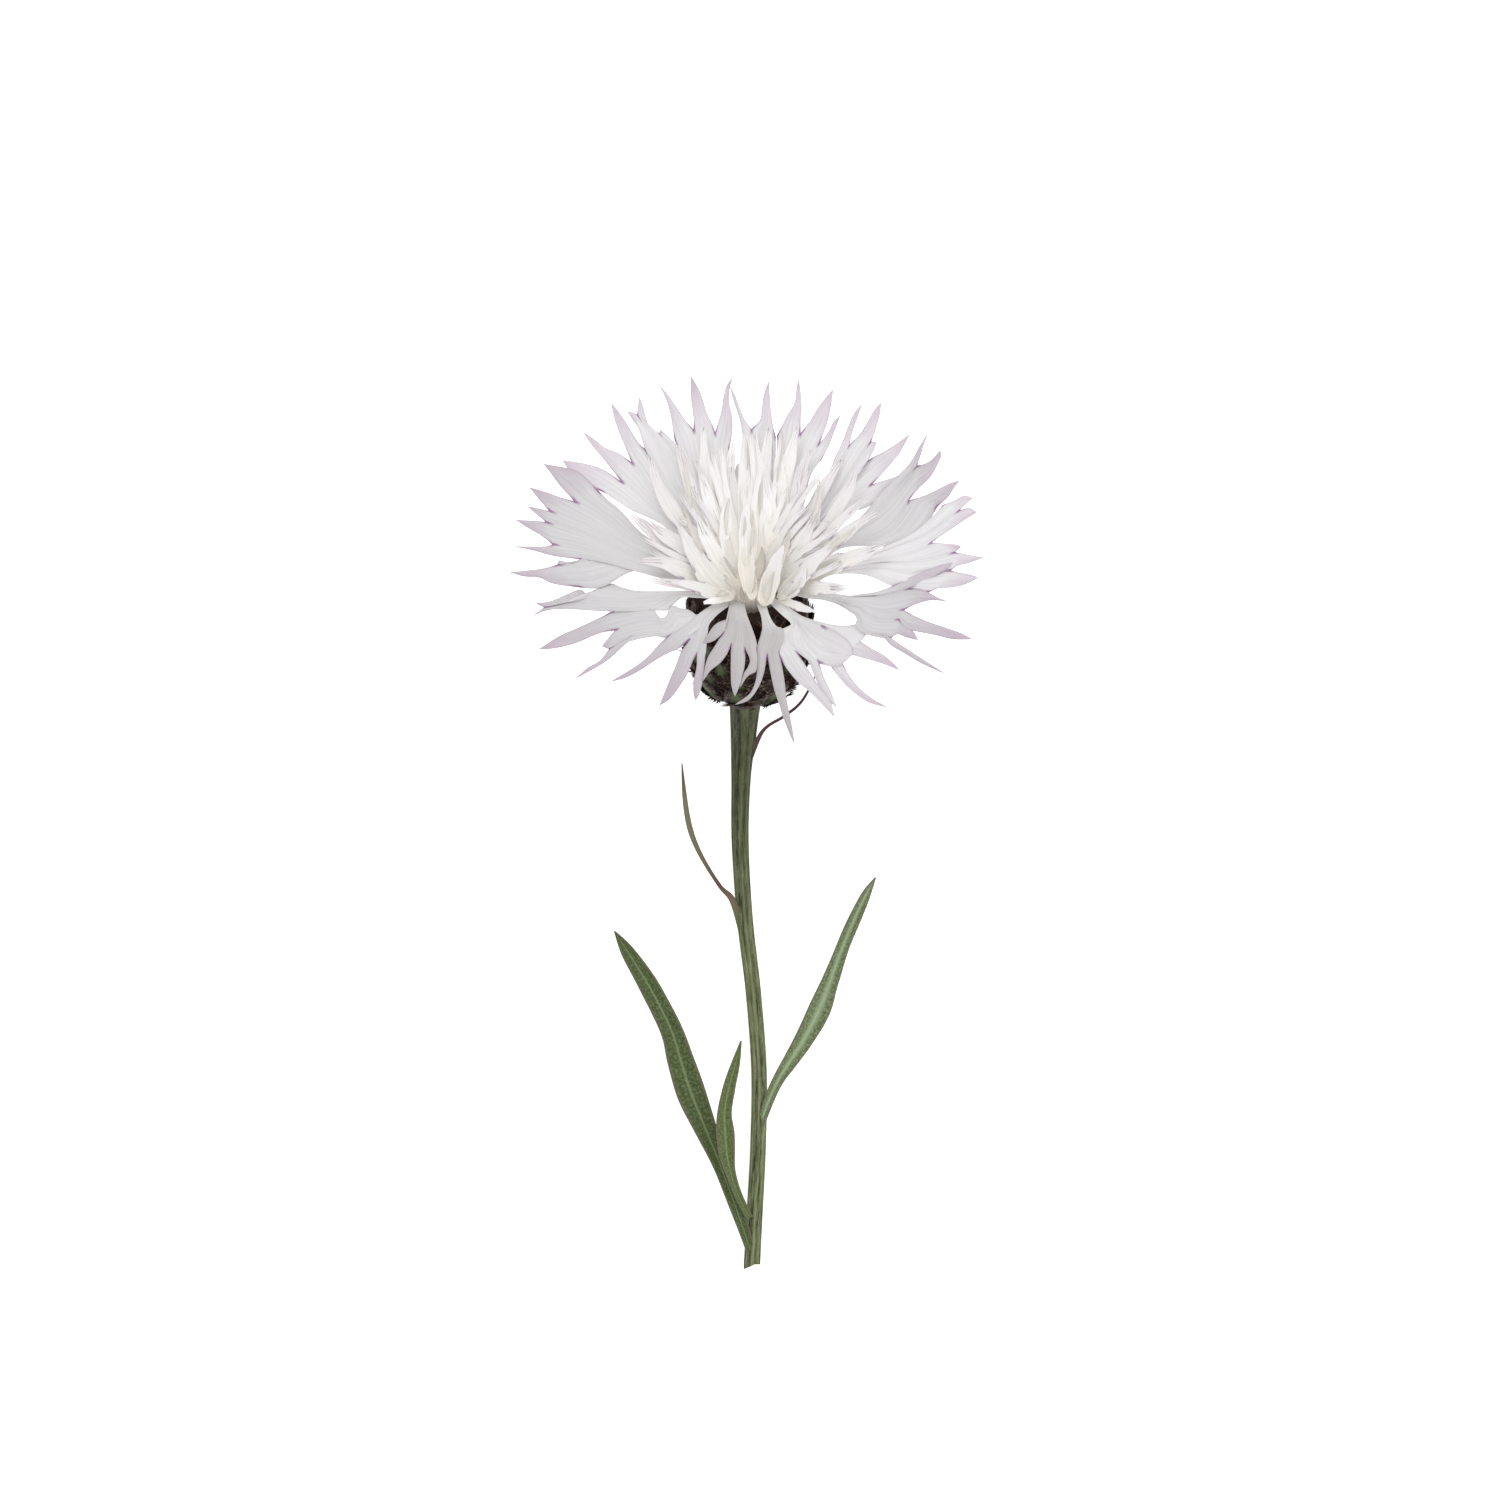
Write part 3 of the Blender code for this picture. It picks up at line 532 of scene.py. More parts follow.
draw = random.Random(3)
for row in range(BRACT_ROWS):
    low = FIRST_ROW + (LAST_ROW - FIRST_ROW) * row / (BRACT_ROWS - 1)
    around = np.interp(low + 0.1, *zip(*CUP_OUTLINE))
    count = max(FEWEST_BRACTS, round(BRACTS_IN_WIDEST_ROW * around))
    for place in range(count):
        turn = 2 * math.pi * (place + 0.5 * (row % 2) + draw.uniform(-0.06, 0.06)) / count
        size = (0.7 if row == 0 else 1.0) * draw.uniform(0.94, 1.06)
        long = BRACT_LENGTH * size / CUP_LENGTH
        wide = BRACT_WIDTH * size / 2 / (around * CUP_RADIUS)
        lift = np.interp(row, (0, 2, 4, 6), BRACT_LIFT) + 0.4 * draw.random()
        v = np.linspace(0, 1, BRACT_ALONG + 1)[:, None]
        u = np.linspace(-1, 1, BRACT_ACROSS + 1)[None, :]
        off = BRACT_OFF + lift * v**1.5 + BRACT_VAULT * (1 - u**2) - BRACT_CLASP * v * u**2
        blade = cup_surface(low + long * v, turn + wide * bract_outline(v) * u, off)
        new = grid_faces(BRACT_ALONG + 1, BRACT_ACROSS + 1, len(points))
        points += blade.reshape(-1, 3).tolist()
        uvs += grid_map(np.abs(u) * (0.55 + 0.45 * v) + 0.9 * np.clip(v - 0.72, 0, 1), v).tolist()
        faces += new
        # More of them are brown toward the rim.
        brown = draw.random() < 0.25 + 0.12 * row and (row, place) != GREEN_BRACT
        kinds += [BROWN * brown] * len(new)
        # Teeth stand out from the edge, from a third of the way up to the point.
        for side in (-1, 1):
            for tooth in range(BRACT_TEETH):
                share = FIRST_TOOTH + (1 - FIRST_TOOTH) * (tooth + draw.uniform(0.2, 0.8)) / BRACT_TEETH
                foot = low + long * share
                narrow = bract_outline(share)
                lean = (1 - share) * 1.2 + 0.15
                length = TOOTH_LENGTH * size * draw.uniform(0.7, 1.15)
                raised = BRACT_OFF + lift * share**1.5 - BRACT_CLASP * share
                step = TOOTH_HALF_WIDTH / CUP_LENGTH
                first = len(points)
                ends = ((-step, 0.97, 0), (step, 0.97, 0), (0, 0.94, 0.10))
                for up, inward, off in ends:
                    aside = turn + side * wide * (narrow * inward)
                    points.append(cup_surface(foot + up, aside, raised + off).tolist())
                apex = foot + length * math.cos(lean) / CUP_LENGTH
                apex_turn = turn + side * (wide * narrow + length * math.sin(lean) / (around * CUP_RADIUS))
                off = raised + draw.uniform(0.05, 1.0 if row < 3 else 0.6)
                points.append(cup_surface(apex, apex_turn, off).tolist())
                uvs += [(draw.random(), share)] * 4
                faces += [(first + a, first + b, first + 3) for a, b in ((0, 1), (1, 2), (2, 0))]
                kinds += [TOOTH] * 3

cup_skins = (green_bract, brown_bract, tooth_brown)
add_piece("cup_of_bracts", points, faces, uvs, cup_skins, "involucre", kinds)


# The ray florets.
# Eighteen broad outer florets, white with a breath of lilac at their points, as thin as tissue and finely
# nerved. Each is a narrow tube that splays into a pleated palm, and the palm parts into pointed lobes.
DISH_SHOULDER = 5.6
SHOULDER_REACH = 10.0
DROOP_REACH = 8.0
DROOP = 0.5
PETAL_THICKNESS = 0.14
PLEAT_DEPTH = 0.6
LAYER_STEP = 0.55
LOBE_LIFT = 0.8  # most that a lobe's point bends up or down
WANDER = 0.25
HEIGHT_ROUNDS = 60  # each brings the dish's height at a seen place closer
PALM_ROWS = 30
LOBE_ROWS = 16
LOBE_COLUMNS = 8

K = "corner"
# An outline starts at the neck and goes round counterclockwise, in pixels of the photo, read off it.
# Its corners are, by turns, where two lobes part and the point of a lobe. Layer is how many steps high the
# floret lies, pleat how deep its folds are, and cup how far its flanks turn up. One is another's under layer.
RAY_FLORETS = (
    # (layer, pleat, cup, outline)
    (0.9, 0.45, 0.3, (
        (772, 584), (800, 580), (822, 577), (850, 574), (870, 577), (887, 585), (905, 590), (928, 593, K),
        (938, 589), (952, 588), (965, 585), (978, 578, K), (968, 575), (957, 573), (950, 571, K),
        (958, 566), (970, 563), (983, 558, K), (971, 556), (962, 554), (955, 553, K), (958, 550),
        (961, 547, K), (956, 545), (945, 544), (931, 543, K), (950, 530), (965, 520), (977, 512, K),
        (970, 508), (960, 510, K), (966, 504), (973, 498, K), (965, 495), (955, 500), (943, 505, K),
        (932, 517), (920, 528), (905, 538), (890, 545), (875, 552), (856, 560), (820, 569), (775, 580),
    )),
    (0.1, 0.5, 0.4, (
        (772, 580), (810, 565), (840, 549), (862, 546), (886, 547), (910, 540), (928, 522), (938, 506, K),
        (948, 497), (955, 487), (960, 480, K), (950, 483), (930, 493), (920, 497), (909, 500, K),
        (920, 487), (932, 475), (942, 455), (941, 449, K), (933, 458), (925, 463), (918, 464, K),
        (921, 455), (924, 445), (928, 433, K), (920, 446), (912, 460), (900, 474, K), (888, 486),
        (877, 498), (867, 510), (855, 522), (840, 533), (820, 546), (775, 574),
    )),
    (-0.8, 0.25, -0.2, (
        (770, 575), (810, 545), (840, 520), (850, 511), (862, 509), (875, 503, K), (886, 492), (896, 482),
        (903, 473, K), (890, 478), (880, 481), (872, 484, K), (884, 471), (900, 452), (911, 432, K),
        (900, 440), (885, 450), (875, 455), (869, 459, K), (858, 470), (840, 495), (805, 535), (768, 572),
    )),
    (0.7, 0.45, 0.3, (
        (768, 574), (795, 547), (820, 522), (840, 498), (854, 479), (865, 465, K), (872, 453),
        (877, 441, K), (875, 440), (872, 440, K), (877, 426), (881, 411), (882, 400, K), (875, 408),
        (866, 424), (859, 434), (850, 443, K), (853, 430), (858, 416), (863, 401, K), (855, 411),
        (849, 424), (844, 438), (835, 458, K), (829, 472), (822, 487), (812, 510), (795, 537), (764, 570),
    )),
    (-0.1, 0.35, 0.2, (
        (764, 575), (783, 535), (797, 513), (804, 505), (807, 490), (812, 472), (822, 458, K), (829, 445),
        (834, 432), (841, 413, K), (834, 420), (829, 430), (820, 442, K), (824, 431), (829, 416),
        (832, 401), (834, 386, K), (826, 395), (818, 406), (811, 418), (801, 431, K), (801, 418),
        (802, 404), (801, 388), (799, 374, K), (797, 386), (795, 400), (788, 412), (782, 424),
        (777, 434, K), (777, 446), (775, 465), (771, 482), (764, 515), (755, 565),
    )),
    (0.6, 0.3, 0.2, (
        (756, 575), (766, 520), (773, 480), (776, 450), (776, 435, K), (773, 423), (771, 408), (770, 393),
        (769, 377, K), (764, 391), (762, 405), (760, 418), (751, 427, K), (745, 418), (739, 404),
        (735, 393), (730, 384, K), (733, 397), (738, 412), (741, 423), (742, 433, K), (741, 448),
        (740, 460), (735, 468), (736, 490), (742, 530), (746, 575),
    )),
    (-0.2, 0.25, 0.2, (
        (744, 575), (737, 530), (733, 500), (730, 475), (729, 448, K), (732, 432), (732, 415), (729, 401),
        (729, 388), (733, 372, K), (726, 383), (723, 396), (721, 409), (715, 430, K), (711, 420),
        (706, 409), (702, 395), (697, 383), (690, 371, K), (690, 386), (691, 400), (693, 414),
        (693, 427, K), (685, 418), (677, 406), (668, 393), (659, 382, K), (664, 393), (668, 405),
        (671, 418), (674, 438, K), (680, 455), (692, 490), (714, 540), (736, 577),
    )),
    (0.7, 0.25, 0.1, (
        (735, 575), (716, 530), (696, 480), (682, 452), (672, 439, K), (666, 433), (660, 428, K),
        (659, 430), (658, 431, K), (650, 427), (645, 415), (642, 403), (638, 393, K), (637, 402),
        (636, 412, K), (632, 410), (627, 409, K), (632, 418), (638, 426), (645, 449, K), (655, 468),
        (678, 510), (712, 555), (733, 580),
    )),
    (0.0, 0.22, 0.2, (
        (734, 577), (708, 545), (680, 505), (660, 476), (650, 457), (645, 448, K), (637, 440), (628, 425),
        (619, 411), (610, 400, K), (613, 415), (618, 430), (624, 444), (631, 461, K), (618, 452),
        (604, 446), (594, 438), (582, 430, K), (592, 445), (604, 459), (621, 481, K), (605, 470),
        (590, 464), (576, 461), (562, 459, K), (566, 466), (577, 475), (588, 484), (600, 490, K),
        (615, 499), (632, 510), (648, 517), (664, 526), (688, 547), (716, 572), (733, 585),
    )),
    (0.8, 0.1, 0.1, (
        (732, 582), (702, 568), (672, 553), (650, 540), (637, 529), (622, 512), (607, 499), (599, 491, K),
        (586, 478), (573, 469), (543, 463, K), (550, 472), (558, 483), (567, 493), (574, 501, K),
        (560, 497), (546, 492), (529, 487, K), (538, 498), (544, 505), (549, 511, K), (541, 509),
        (527, 506, K), (535, 513), (546, 522, K), (535, 521), (516, 520, K), (530, 529), (542, 536),
        (553, 545, K), (545, 547), (530, 547), (516, 547, K), (535, 551), (549, 555), (560, 557),
        (583, 560, K), (600, 562), (630, 570), (665, 580), (705, 592), (731, 597),
    )),
    (0.6, 0.2, 0.1, (
        (731, 586), (700, 571), (665, 561), (640, 555), (615, 551), (598, 554), (583, 561, K), (570, 563),
        (559, 561, K), (558, 565, K), (545, 569), (530, 571), (511, 573, K), (525, 577), (540, 578),
        (553, 584), (580, 588, K), (597, 589), (612, 583), (625, 575), (640, 570), (665, 569), (700, 580),
        (731, 595),
    )),
    (0.6, 0.25, 0.2, (
        (730, 595), (700, 592), (672, 592), (640, 592), (622, 588), (612, 584), (606, 590), (602, 594, K),
        (594, 598), (588, 596), (581, 590), (570, 596), (555, 602), (537, 604, K), (545, 608, K),
        (535, 616, K), (545, 611), (556, 607), (575, 607), (595, 609), (611, 612, K), (635, 612),
        (657, 611), (668, 611), (674, 605), (683, 598), (694, 598), (710, 599), (729, 602),
    )),
    (0.4, 0.2, 0.1, (
        (728, 599), (706, 612), (697, 616), (690, 611), (680, 609), (673, 606), (669, 611), (666, 618),
        (659, 618), (655, 611), (636, 609), (611, 613, K), (600, 619), (580, 628), (560, 637),
        (540, 650, K), (555, 649), (576, 644), (600, 634), (616, 631, K), (609, 639), (603, 647, K),
        (610, 650, K), (600, 662), (588, 669), (577, 679, K), (592, 671), (610, 660), (625, 646),
        (643, 631, K), (655, 632), (668, 635), (690, 636), (712, 617), (728, 604),
    )),
    (0.9, 0.25, 0.1, (
        (727, 600), (714, 605), (700, 614), (689, 624), (677, 632), (669, 636, K), (658, 647), (648, 658),
        (635, 668), (612, 682, K), (625, 679), (641, 671), (656, 661), (670, 653), (678, 650),
        (690, 640, K), (682, 652), (677, 665), (671, 679), (660, 706, K), (670, 700), (680, 687),
        (688, 674), (693, 662), (697, 655, K), (697, 668), (694, 682), (694, 694), (696, 701, K),
        (700, 694), (703, 680), (706, 656, K), (707, 643), (708, 633), (710, 624), (719, 614), (729, 606),
        (732, 600),
    )),
    (1.6, 0.3, 0.1, (
        (736, 578), (732, 588), (730, 598), (729, 608), (727, 620, K), (716, 625), (709, 634),
        (702, 645, K), (707, 644), (715, 641), (724, 633, K), (715, 647), (707, 661), (703, 682, K),
        (711, 671), (720, 664), (727, 655), (731, 646, K), (731, 661), (731, 675), (732, 688),
        (735, 697, K), (739, 688), (742, 678), (745, 664), (745, 650, K), (750, 660), (748, 668),
        (744, 674), (740, 688, K), (745, 680), (750, 675), (756, 672), (757, 662), (757, 649, K),
        (756, 641), (752, 629), (747, 616), (745, 606), (745, 598), (743, 588), (740, 578),
    )),
    (1.0, 0.3, 0.1, (
        (755, 596), (757, 606), (761, 617), (762, 630), (759, 641), (756, 650, K), (757, 665), (756, 680),
        (750, 694), (735, 705, K), (748, 701), (757, 690), (763, 676), (767, 656, K), (770, 672),
        (774, 690), (779, 705), (784, 721), (794, 745, K), (792, 729), (789, 714), (786, 699), (784, 680),
        (779, 652, K), (783, 640), (783, 630), (776, 627), (770, 618), (767, 608), (764, 596),
    )),
    (0.5, 0.3, 0.2, (
        (762, 594), (770, 604), (781, 615), (791, 625), (782, 630), (773, 637), (772, 645), (779, 656, K),
        (785, 667), (797, 682), (811, 694), (834, 718, K), (830, 702), (823, 693), (814, 680), (803, 663),
        (797, 653, K), (808, 661), (812, 672), (821, 692), (828, 701), (836, 708, K), (830, 692),
        (823, 677), (819, 664, K), (830, 667), (841, 665), (851, 656, K), (851, 648), (846, 640),
        (836, 633), (822, 626, K), (812, 622), (800, 617), (788, 609), (774, 598),
    )),
    (-0.6, 0.3, 0.1, (
        (775, 597), (800, 620), (815, 642), (829, 665, K), (840, 680), (852, 692), (868, 703),
        (887, 708, K), (870, 698), (857, 687), (848, 675), (842, 664, K), (850, 656), (860, 658),
        (878, 663), (899, 671, K), (886, 658), (869, 648), (856, 638), (866, 634, K), (862, 624),
        (850, 626), (835, 626), (818, 622), (800, 616), (779, 600),
    )),
    (1.4, 0.4, 0.3, (
        (780, 592), (808, 599), (822, 600), (836, 604), (846, 610), (856, 618), (855, 627), (866, 635),
        (882, 636, K), (890, 646), (905, 655), (920, 664), (943, 674, K), (925, 662), (905, 649),
        (896, 643), (890, 639, K), (897, 635), (905, 638), (917, 641, K), (912, 632), (903, 627),
        (898, 620, K), (903, 629), (915, 632), (935, 636), (952, 640), (971, 640, K), (960, 634),
        (946, 629), (928, 623), (914, 617), (903, 611, K), (915, 605), (930, 601), (946, 602, K),
        (938, 599), (929, 594), (920, 590), (908, 589, K), (925, 582), (945, 570), (966, 557, K),
        (950, 562), (935, 568), (915, 576), (890, 588, K), (875, 593), (860, 595), (843, 597), (815, 592),
        (782, 588),
    )),
)


def dish_height(right, back):
    """Height of the ray florets over the mouth, on the bloom's axis."""
    reach = np.hypot(right, back)
    rise = 1 - np.minimum(reach / SHOULDER_REACH, 1)
    facing_stem = np.maximum(0, -back / np.maximum(reach, 1e-6))
    return DISH_SHOULDER * (1 - rise**2) - DROOP * facing_stem**1.5 * np.maximum(0, reach - DROOP_REACH)


def on_bloom(seen):
    """Height over the table of the bloom's dish, where it is seen at (x, y) from the mouth, and its reach."""
    height = np.full(seen.shape[:-1], DISH_SHOULDER)
    for _ in range(HEIGHT_ROUNDS):
        back = (seen[..., 1] - height * math.cos(BLOOM_TILT)) / math.sin(BLOOM_TILT)
        height = dish_height(seen[..., 0], back)
    over_table = MOUTH[2] + height * math.sin(BLOOM_TILT) - back * math.cos(BLOOM_TILT)
    return over_table, np.hypot(seen[..., 0], back)


def petal_material(name, body, foot, point, soak=0.35, foot_end=1.3, painted_glow=0.10, purple=0.9):
    """Petal tissue: body colour, another at the foot, a tint at the lobes' points and edges, ribs and nerves.

    Soak is how far light spreads in it. Glow is painted light: the tissue gives off light in its body colour,
    as if light came through it from the tissue around.
    """
    material, tree = blank_material(name)
    # Along it v is 0 at the foot, 1 where the lobes part and 2 at their points. A lobe is 1 of u wide.
    grown, u, v = growth_map(tree)
    nerves = mottle(tree, grown, 13, 1.4, 3, 0.6)
    cloud = mottle(tree, grown, 1.2, 1.6, 3)
    from_foot = add_node(tree, "MapRange", (v, 0.1, foot_end))
    flesh = add_node(tree, "Mix", (from_foot, foot, body))
    within = add_node(tree, "Math", (u,), operation="FRACT")
    aside = add_node(tree, "Math", (within, 0.5), operation="SUBTRACT")
    aside = add_node(tree, "Math", (aside,), operation="ABSOLUTE")
    edge = add_node(tree, "MapRange", (aside, 0.41, 0.5, 0, 0.95))
    in_lobe = add_node(tree, "MapRange", (v, 0.95, 1.1))
    edge = add_node(tree, "Math", (edge, in_lobe), operation="MULTIPLY")
    to_point = add_node(tree, "MapRange", (v, 1.0, 2.0, 0, 0.8))
    tint = add_node(tree, "Math", (edge, to_point), operation="MAXIMUM")
    cloudy = add_node(tree, "MapRange", (cloud, 0.3, 0.7, 0.5, 1))
    tint = add_node(tree, "Math", (tint, cloudy), operation="MULTIPLY", use_clamp=True)
    tinted = add_node(tree, "Mix", (tint, flesh, point))
    # The notch between two lobes is purple for half a millimetre, on florets that have any purple.
    notch = add_node(tree, "MapRange", (aside, 0.39, 0.46))
    below = add_node(tree, "MapRange", (v, 0.96, 0.99))
    above = add_node(tree, "MapRange", (v, 1.04, 1.16, purple, 0))
    notch = add_node(tree, "Math", (notch, below), operation="MULTIPLY")
    notch = add_node(tree, "Math", (notch, above), operation="MULTIPLY")
    tinted = add_node(tree, "Mix", (notch, tinted, "7E4F7C"))
    # Four ribs run up each lobe, half a millimetre apart, with the finer nerves between them.
    ribs = add_node(tree, "Math", (u, 8 * math.pi), operation="MULTIPLY")
    ribs = add_node(tree, "Math", (cloud, 2.0, ribs), operation="MULTIPLY_ADD")
    ribs = add_node(tree, "Math", (ribs,), operation="SINE")
    height = add_node(tree, "Math", (ribs, 0.07, nerves), operation="MULTIPLY_ADD")
    # The grooves are painted darker and the ridges lighter too, painted shade and painted light over the
    # relief.
    relief_shade_and_light = add_node(tree, "MapRange", (height, 0.25, 0.75, 0.87, 1.05))
    nerved = add_node(tree, "Mix", (1.0, tinted, relief_shade_and_light), blend_type="MULTIPLY")
    # Its glow is painted light: an emission in the body colour.
    silky_with_glow = {"Roughness": 0.6, "Specular IOR Level": 0.3, "Emission Color": body, "Emission Strength": painted_glow}
    thin = {"Subsurface Weight": soak, "Subsurface Radius": (0.8 * MM, 0.75 * MM, 0.7 * MM)}
    finish_skin(tree, nerved, height, 0.6, 0.12, silky_with_glow | thin)
    return material


petal_white = petal_material("white petal tissue", "BFBDBE", "D8D6D5", "B499AD", foot_end=1.2, painted_glow=0.085)
# The florets that hang towards the stem have hardly any lilac, and their tissue is painted darker
# and glows less, as painted shade under the head.
hanging = "shaded white tissue of hanging petals"
shaded_hanging_white = petal_material(hanging, "BBB7B6", "DEDCD8", "B2A8AC", foot_end=0.7, painted_glow=0.06)
# Those at the back and at the lower right are painted whiter, as painted light.
painted_light_white = petal_material("white petal tissue with painted light", "D0CECF", "E0DEDD", "BDA3B6")
round_lobed = petal_material("white tissue of the round lobe", "CECCCC", "DCDBD9", "CAC3C8")
TISSUES = {number: painted_light_white for number in (1, 3, 4, 5, 6, 7, 8, 9, 18)}
TISSUES |= {15: shaded_hanging_white, 16: shaded_hanging_white, 17: round_lobed}


def from_photo(pixels):
    """Pixels of the photo as mm from the mouth, as seen."""
    return (np.array(pixels, dtype=float) - MOUTH_PIXEL) * (1, -1) / PIXELS_PER_MM


def even_steps(stations, count):
    """A smooth curve through stations, as count points evenly along it."""
    path = smooth_path(stations, 6)
    gone = distance_along(path)
    at = np.linspace(0, gone[-1], count)
    return np.stack([np.interp(at, gone, path[:, axis]) for axis in range(path.shape[1])], axis=-1)


def ray_floret(number, layer, pleat, cup, outline):
    """Builds one ray floret: a palm between its two flanks, and a strip for each lobe."""
    runs = [[]]
    for point in outline:
        runs[-1].append(point[:2])
        if K in point:
            runs.append([point[:2]])
    runs = [from_photo(run) for run in runs]
    first_flank = even_steps(runs[0], PALM_ROWS + 1)
    last_flank = even_steps(runs[-1][::-1], PALM_ROWS + 1)
    partings = np.array([run[0] for run in runs[1::2]])
    lobes = len(partings) - 1
    columns = lobes * LOBE_COLUMNS + 1
    marks = np.arange(columns) / LOBE_COLUMNS
    gaps = distance_along(partings)
    across = np.interp(marks, range(lobes + 1), gaps / gaps[-1])[None, :, None]
    gone = np.linspace(0, 1, PALM_ROWS + 1)[:, None, None]
    palm = first_flank[:, None, :] * (1 - across) + last_flank[:, None, :] * across
    ends = np.stack([np.interp(marks, range(lobes + 1), partings[:, axis]) for axis in (0, 1)], axis=-1)
    palm = palm + (ends - palm[-1])[None, :, :] * gone**2
    depth = pleat * PLEAT_DEPTH * np.clip(np.linalg.norm(np.diff(partings, axis=0), axis=1) / 2.5, 0.35, 1.3)
    depth_across = np.interp(marks, np.arange(lobes) + 0.5, depth)
    bend = cup * (2 * across[:, :, 0] - 1) ** 2 - depth_across * np.cos(2 * math.pi * marks)
    seen = [palm.reshape(-1, 2)]
    uvs = [grid_map(marks, gone[:, :, 0])]
    folds = [(bend * gone[:, :, 0] ** 1.4).ravel()]
    faces = grid_faces(PALM_ROWS + 1, columns)
    count = len(seen[0])
    up = np.linspace(0, 1, LOBE_ROWS + 1)[1:-1, None]
    side = np.linspace(-1, 1, LOBE_COLUMNS + 1)[None, :]
    to_far = (1 + side[:, :, None]) / 2
    for lobe in range(lobes):
        near = even_steps(runs[1 + 2 * lobe], LOBE_ROWS + 1)
        far = even_steps(runs[2 + 2 * lobe][::-1], LOBE_ROWS + 1)
        strip = near[1:-1, None, :] * (1 - to_far) + far[1:-1, None, :] * to_far
        lift = draw.uniform(-LOBE_LIFT, LOBE_LIFT)
        turned_up = cup * (2 * (lobe + 0.5) / lobes - 1) ** 2
        start = lobe * LOBE_COLUMNS
        at_foot = depth_across[start : start + LOBE_COLUMNS + 1 : LOBE_COLUMNS // 2]
        fold = np.interp(side, (-1, 0, 1), at_foot)
        keel = fold * np.cos(math.pi * side) * (1 - 0.6 * up) + lift * up**2 + turned_up
        seen.append(np.concatenate((strip.reshape(-1, 2), near[-1:])))
        folds.append(np.append(keel.ravel(), lift + turned_up))
        uvs.append(np.concatenate((grid_map(lobe + (side + 1) / 2, 1 + up), [(lobe + 0.5, 2)])))
        last = PALM_ROWS * columns + start
        point = count + (LOBE_ROWS - 1) * (LOBE_COLUMNS + 1)
        top = point - LOBE_COLUMNS - 1
        for step in range(LOBE_COLUMNS):
            faces.append((last + step, last + step + 1, count + step + 1, count + step))
            faces.append((top + step, top + step + 1, point))
        faces += grid_faces(LOBE_ROWS - 1, LOBE_COLUMNS + 1, count)
        count = point + 1
    seen, uvs, folds = np.concatenate(seen), np.concatenate(uvs), np.concatenate(folds)
    over_table, reach = on_bloom(seen)
    wander = WANDER * np.sin(seen[:, 0] * 0.5 + draw.uniform(0, 6))
    wander = wander * np.sin(seen[:, 1] * 0.6 + draw.uniform(0, 6))
    z = over_table + (layer * LAYER_STEP + wander) * np.clip(reach / SHOULDER_REACH, 0, 1) + folds
    points = np.column_stack((seen + MOUTH[:2], np.maximum(z, PETAL_THICKNESS)))
    uvs[:, 0] += draw.randrange(40)
    tissue = (TISSUES.get(number, petal_white),)
    name = f"ray_floret_{number:02d}"
    add_piece(name, points, faces, uvs, tissue, "ray_florets", None, PETAL_THICKNESS)


draw = random.Random(21)
for number, floret in enumerate(RAY_FLORETS, 1):
    ray_floret(number, *floret)


# The disc florets.
# Cream florets in the middle: slim tubes at the root that open into long, hollow straps, thinner than paper.
# The outer ones lean back over the bloom, the inner ones stand up, and those in front curl towards the eye.
STRAP_ROOT = 19.6  # over the table
STRAP_OVER_DISH = 1.4  # how high the lowest strap lies over the ray florets
STRAP_RISE = 0.55  # share of the rise below that the straps are laid with
STRAP_ARCH = 0.6  # how far the middle of a strap bows up
STRAP_STEP = 0.018  # each strap lies this much higher than the one before it
STRAP_FORK = 2.4  # depth of the notches between the three prongs of its tip
STRAP_HOLLOW = 0.38
STRAP_TWIST = 0.15
STRAP_ROWS = 22
STRAP_COLUMNS = 8
STRAP_THICKNESS = 0.12
STRAP_SLIMMEST = 0.32  # half width, for straps that aren't slimmer all along
STRAP_RIB = 0.04
STRAP_RIB_SPACING = 0.8
LEANT_BACK = 0.5  # share of a strap's length after which it lies over the ray florets
SIDE_REACH = 6.5  # straps whose tips reach further aside are paler
LIP_LENGTH = 0.2  # share of a curled strap's length, as are the next two
SPOON_PLACE = 0.25  # behind its lip it is hollowed like a spoon
SPOON_LENGTH = 0.2
SPOON_DEPTH = 0.5
